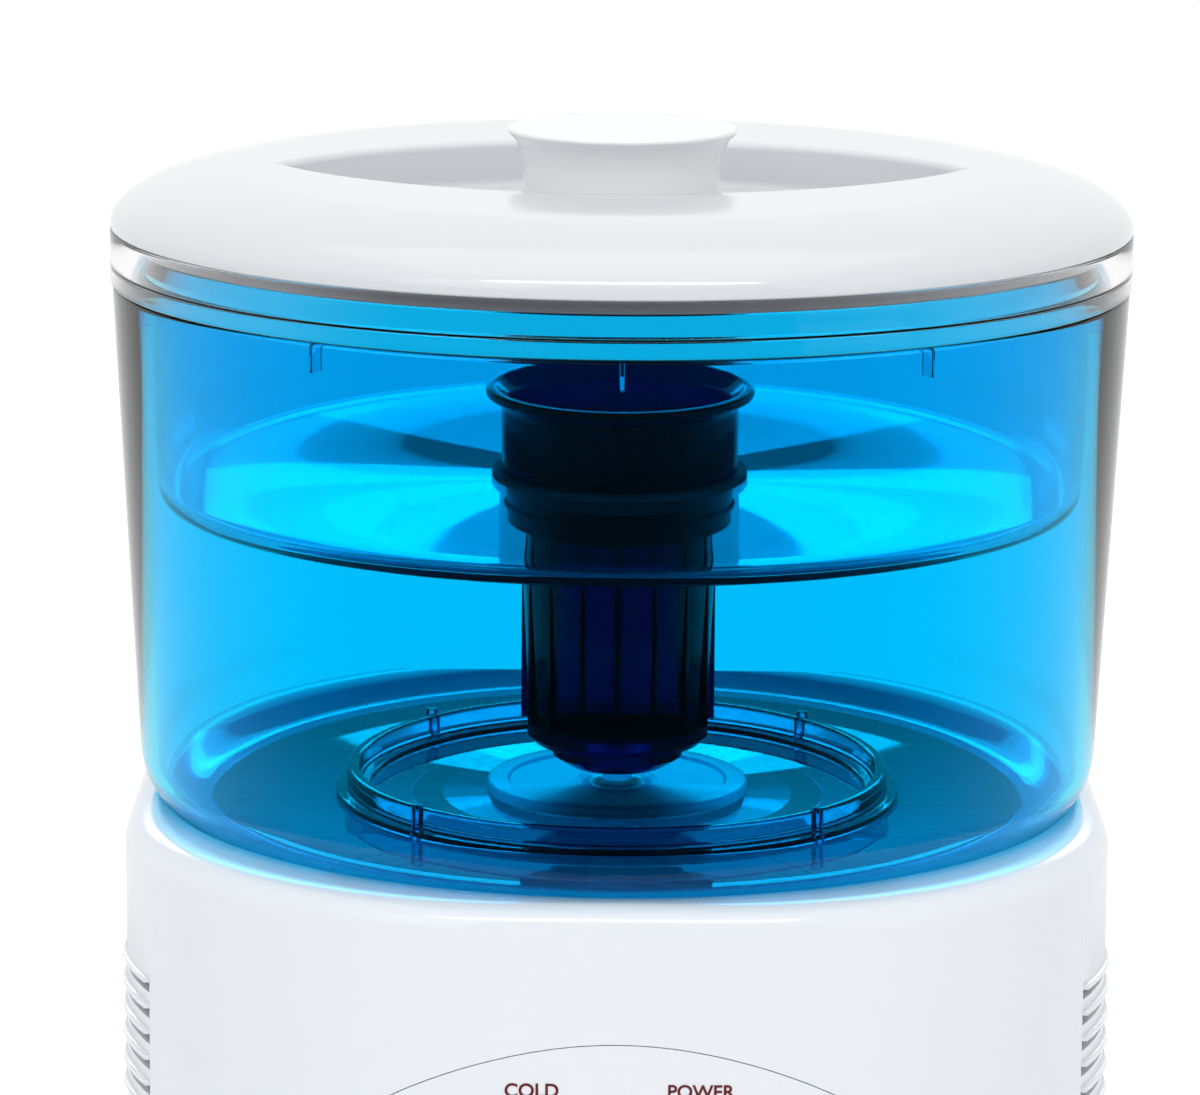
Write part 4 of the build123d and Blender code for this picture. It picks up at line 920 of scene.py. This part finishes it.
class DISPENSER_OT_cartridge(bpy.types.Operator):
    """Turn the filter's flared cup and its ribbed canister"""

    bl_idname = "dispenser.cartridge"
    bl_label = "Filter cartridge"

    def execute(self, context):
        pot = context.scene.dispenser_pot
        navy = palette()["filter_navy"]
        foot = low("cartridge_seal").z + 0.00156
        rim = high("filter_cup").z
        socket_low = low("cartridge_socket").z
        rim_r = high("filter_cup").x
        cup_r = rim_r - 0.0047
        neck_r = cup_r - 0.0045
        wall = pot.cup_wall
        cup = [
            (neck_r - wall, socket_low, 0.0003),
            (neck_r, socket_low, 0.0006),
            (neck_r, foot, 0.0003),
            (cup_r - 0.0002, foot, 0.0006),
            (cup_r, rim - 0.0045, 0.003),
            (rim_r, rim - 0.0022, 0.0011),
            (rim_r - 0.0004, rim, 0.0010),
            (rim_r - 0.0030, rim, 0.0010),
            (cup_r - wall, rim - 0.004, 0.003),
            (cup_r - wall - 0.001, foot + 0.0025, 0.001),
            (0.022, foot + 0.0025, 0.0006),
            (0.022, foot + 0.0005, 0.0003),
            (neck_r - wall, foot + 0.0005, 0.0003),
        ]
        made = lathe("filter_cup_turned", cup)
        settle(made, "filter", navy, ["filter_cup"])
        bottom = low("filter_body").z
        low_r = pot.canister_foot
        can_r = pot.canister_top
        can = [
            (0.0, bottom, 0.0),
            (low_r, bottom, 0.0006),
            (can_r, socket_low - 0.002, 0.0008),
            (can_r, socket_low - 0.0003, 0.0004),
            (neck_r - wall - 0.0003, socket_low - 0.0003, 0.0003),
            (neck_r - wall - 0.0003, high("filter_body").z, 0.001),
            (0.0, high("filter_body").z, 0.0),
        ]
        made = lathe("filter_canister_turned", can)
        settle(made, "filter", navy, ["filter_body"])
        height = (bottom + 0.001, socket_low - 0.004)
        spans = ((low_r - 0.0005, can_r + 0.0002), (-0.0006, 0.0006), height)
        rib = bevel(bar("canister_rib", spans), 0.0003, 2)
        ribs = copies("canister_ribs", rib, 16, turn=math.radians(22.5), material=navy)
        settle(ribs, "filter", None)
        return {"FINISHED"}


class DISPENSER_OT_lettering(bpy.types.Operator):
    """Print the two plain words above the lamps, following the bowed front"""

    bl_idname = "dispenser.lettering"
    bl_label = "Lettering"

    def execute(self, context):
        ink = moulded("label_ink", tuple(context.scene.dispenser_finish.label_red), (0.35, 0.45))
        front = low("front_panel").y
        past_corner = high("body_shell").x - 0.118
        for word, centre, width in (("COLD", -0.0228, 0.0145), ("POWER", 0.0227, 0.018)):
            text = bpy.data.curves.new(f"label_{word.lower()}", "FONT")
            text.body = word
            text.align_x = "CENTER"
            text.extrude = 0.02
            text.offset = 0.018
            source = add_object(f"text_{word.lower()}", text)
            bake = bpy.data.meshes.new_from_object(source.evaluated_get(
                context.evaluated_depsgraph_get()))
            bpy.data.objects.remove(source)
            xs = [v.co.x for v in bake.vertices]
            size = width / (max(xs) - min(xs))
            for v in bake.vertices:
                x = centre + v.co.x * size
                z = 0.3183 + v.co.y * size
                past = max(0.0, abs(x) - past_corner)
                bow = 0.118 - math.sqrt(0.118 ** 2 - past ** 2)
                v.co = (x, front + bow - (0.00012 if v.co.z > 0 else 0.0), z)
            face_out(bake)
            label = add_object(f"label_{word.lower()}", bake)
            settle(label, "base", ink)
        return {"FINISHED"}


def lamp(name, place, aim, size, power):
    """A soft square lamp aimed at a point."""
    light = bpy.data.lights.new(name, "AREA")
    light.shape = "RECTANGLE"
    light.size, light.size_y = size
    light.energy = power
    holder = bpy.data.objects.new(name, light)
    holder.location = place
    holder.rotation_euler = (Vector(aim) - Vector(place)).to_track_quat("-Z", "Y").to_euler()
    bpy.context.scene.collection.objects.link(holder)
    return holder


class DISPENSER_OT_studio(bpy.types.Operator):
    """Set the camera, the pale floor, the white surround and the soft lamps"""

    bl_idname = "dispenser.studio"
    bl_label = "Studio"

    def execute(self, context):
        scene = context.scene
        studio = scene.dispenser_studio
        data = bpy.data.cameras.new("camera")
        data.lens = studio.lens
        data.sensor_width = 36.0
        data.clip_end = 50.0
        camera = bpy.data.objects.new("camera", data)
        tilt = Matrix.Rotation(math.pi / 2 - studio.pitch, 4, "X") @ Matrix.Rotation(studio.roll, 4, "Z")
        place = (-studio.aside, -studio.distance, studio.height)
        camera.matrix_world = Matrix.Translation(place) @ tilt
        scene.collection.objects.link(camera)
        scene.camera = camera
        scene.view_settings.view_transform = "Standard"
        self.floor(studio)
        self.surround(scene)
        aim = (0.0, 0.0, high("body_shell").z)
        lamp("key", (-1.1, -1.5, 1.7), aim, (1.1, 1.1), studio.key_power)
        lamp("fill", (1.4, -1.1, 1.0), aim, (0.9, 1.4), studio.fill_power)
        lamp("top", (0.0, 0.2, 1.9), aim, (1.4, 1.4), studio.top_power)
        lamp("strip", (0.0, -1.0, 2.0), aim, (1.5, 0.16), studio.strip_power)
        back = lamp("back", (0.0, 1.3, 0.95), aim, (1.4, 0.3), studio.back_power)
        back.light_linking.receiver_collection = bpy.data.collections.new("lit_from_behind")
        tray = (0.0, 0.0, low("raw_water_tray").z)
        glow = lamp("glow", (0.0, 0.5, tray[2] + 0.083), tray, (0.40, 0.05), studio.glow_power)
        glow.light_linking.receiver_collection = bpy.data.collections.new("lit_from_low")
        return {"FINISHED"}

    def floor(self, studio):
        """A pale round floor."""
        mesh = bpy.data.meshes.new("floor")
        work = bmesh.new()
        bmesh.ops.create_circle(work, cap_ends=True, segments=96, radius=studio.floor_radius)
        work.to_mesh(mesh)
        work.free()
        floor = add_object("floor", mesh)
        material = moulded("floor_paper", (0.88, 0.88, 0.885), (0.6, 0.75), 300.0, 0.00001)
        shader = material.node_tree.nodes["Principled BSDF"]
        shader.inputs["Emission Color"].default_value = (1.0, 1.0, 1.0, 1.0)
        shader.inputs["Emission Strength"].default_value = 0.45
        floor.data.materials.append(material)
        floor.visible_glossy = False
        floor.visible_transmission = False

    def surround(self, scene):
        """White to the eye and behind clear plastic, soft on matt faces, dark in front."""
        world = bpy.data.worlds.new("surround")
        world.use_nodes = True
        scene.world = world
        nodes = world.node_tree.nodes
        link = world.node_tree.links.new
        path = nodes.new("ShaderNodeLightPath")
        place = nodes.new("ShaderNodeTexCoord")
        split = nodes.new("ShaderNodeSeparateXYZ")
        link(place.outputs["Generated"], split.inputs[0])
        soft_top = self.sky(nodes, link, split.outputs["Z"], (0.34, 0.36, 0.385), (0.72, 0.73, 0.745))
        slope = nodes.new("ShaderNodeMath")
        slope.operation = "ADD"
        link(split.outputs["Y"], slope.inputs[0])
        link(split.outputs["Z"], slope.inputs[1])
        mirrored = self.sky(nodes, link, slope.outputs[0], (0.02, 0.025, 0.03), (1.0, 1.0, 1.0))
        shiny = self.choose(nodes, link, path.outputs["Is Glossy Ray"], soft_top, mirrored)
        seen = nodes.new("ShaderNodeMath")
        seen.operation = "MAXIMUM"
        link(path.outputs["Is Camera Ray"], seen.inputs[0])
        link(path.outputs["Is Transmission Ray"], seen.inputs[1])
        through = self.sky(nodes, link, split.outputs["Y"], (0.10, 0.11, 0.12), (1.04, 1.04, 1.04), 0.0)
        white = nodes.new("ShaderNodeRGB")
        white.outputs[0].default_value = (1.04, 1.04, 1.04, 1.0)
        clear_view = self.choose(nodes, link, path.outputs["Is Camera Ray"], through, white.outputs[0])
        shown = self.choose(nodes, link, seen.outputs[0], shiny, clear_view)
        link(shown, nodes["Background"].inputs["Color"])

    def sky(self, nodes, link, height, below, above, full=0.9):
        """A smooth change of colour along a direction that runs from -1 to 1."""
        lift = nodes.new("ShaderNodeMapRange")
        lift.interpolation_type = "SMOOTHSTEP"
        lift.inputs["From Min"].default_value = -0.7
        lift.inputs["From Max"].default_value = full
        mix = nodes.new("ShaderNodeMix")
        mix.data_type = "RGBA"
        mix.inputs[6].default_value = (*below, 1.0)
        mix.inputs[7].default_value = (*above, 1.0)
        link(height, lift.inputs["Value"])
        link(lift.outputs[0], mix.inputs[0])
        return mix.outputs[2]

    def choose(self, nodes, link, test, without, with_it):
        """One of two colours, by a test that is 0 or 1."""
        mix = nodes.new("ShaderNodeMix")
        mix.data_type = "RGBA"
        link(test, mix.inputs[0])
        link(without, mix.inputs[6])
        link(with_it, mix.inputs[7])
        return mix.outputs[2]


class DISPENSER_PT_sidebar(bpy.types.Panel):
    """The dispenser's pieces in the sidebar"""

    bl_idname = "DISPENSER_PT_sidebar"
    bl_label = "Water dispenser"
    bl_space_type = "VIEW_3D"
    bl_region_type = "UI"
    bl_category = "Dispenser"

    def draw(self, context):
        for operator in OPERATORS:
            self.layout.operator(operator.bl_idname)
        for group in GROUPS:
            settings = getattr(context.scene, GROUPS[group])
            for name in group.__annotations__:
                self.layout.prop(settings, name)


LIT_FROM_BEHIND = (
    "tank_turned",
    "guard_ring_turned",
    "guard_clips",
    "outlet_disc_turned",
    "body_shell_smooth",
)
LIT_FROM_LOW = ("tray_turned", "tank_turned")
GROUPS = {
    DispenserPot: "dispenser_pot",
    DispenserLid: "dispenser_lid",
    DispenserFinish: "dispenser_finish",
    DispenserStudio: "dispenser_studio",
}
OPERATORS = (
    DISPENSER_OT_studio,
    DISPENSER_OT_frame_finish,
    DISPENSER_OT_smooth_shells,
    DISPENSER_OT_tank,
    DISPENSER_OT_tray,
    DISPENSER_OT_collar,
    DISPENSER_OT_guard_ring,
    DISPENSER_OT_outlet,
    DISPENSER_OT_cartridge,
    DISPENSER_OT_lid,
    DISPENSER_OT_grip,
    DISPENSER_OT_lettering,
)


def register():
    """Registers the settings, the operators and the panel."""
    for group, name in GROUPS.items():
        bpy.utils.register_class(group)
        setattr(bpy.types.Scene, name, PointerProperty(type=group))
    for operator in OPERATORS:
        bpy.utils.register_class(operator)
    bpy.utils.register_class(DISPENSER_PT_sidebar)


def unregister():
    """Removes what register added."""
    bpy.utils.unregister_class(DISPENSER_PT_sidebar)
    for operator in reversed(OPERATORS):
        bpy.utils.unregister_class(operator)
    for group, name in reversed(GROUPS.items()):
        delattr(bpy.types.Scene, name)
        bpy.utils.unregister_class(group)


def main():
    """Makes every piece in order."""
    register()
    for operator in OPERATORS:
        category, name = operator.bl_idname.split(".")
        getattr(getattr(bpy.ops, category), name)()
    for name in LIT_FROM_BEHIND:
        bpy.data.collections["lit_from_behind"].objects.link(bpy.data.objects[name])
    for name in LIT_FROM_LOW:
        bpy.data.collections["lit_from_low"].objects.link(bpy.data.objects[name])


if __name__ == "__main__":
    main()
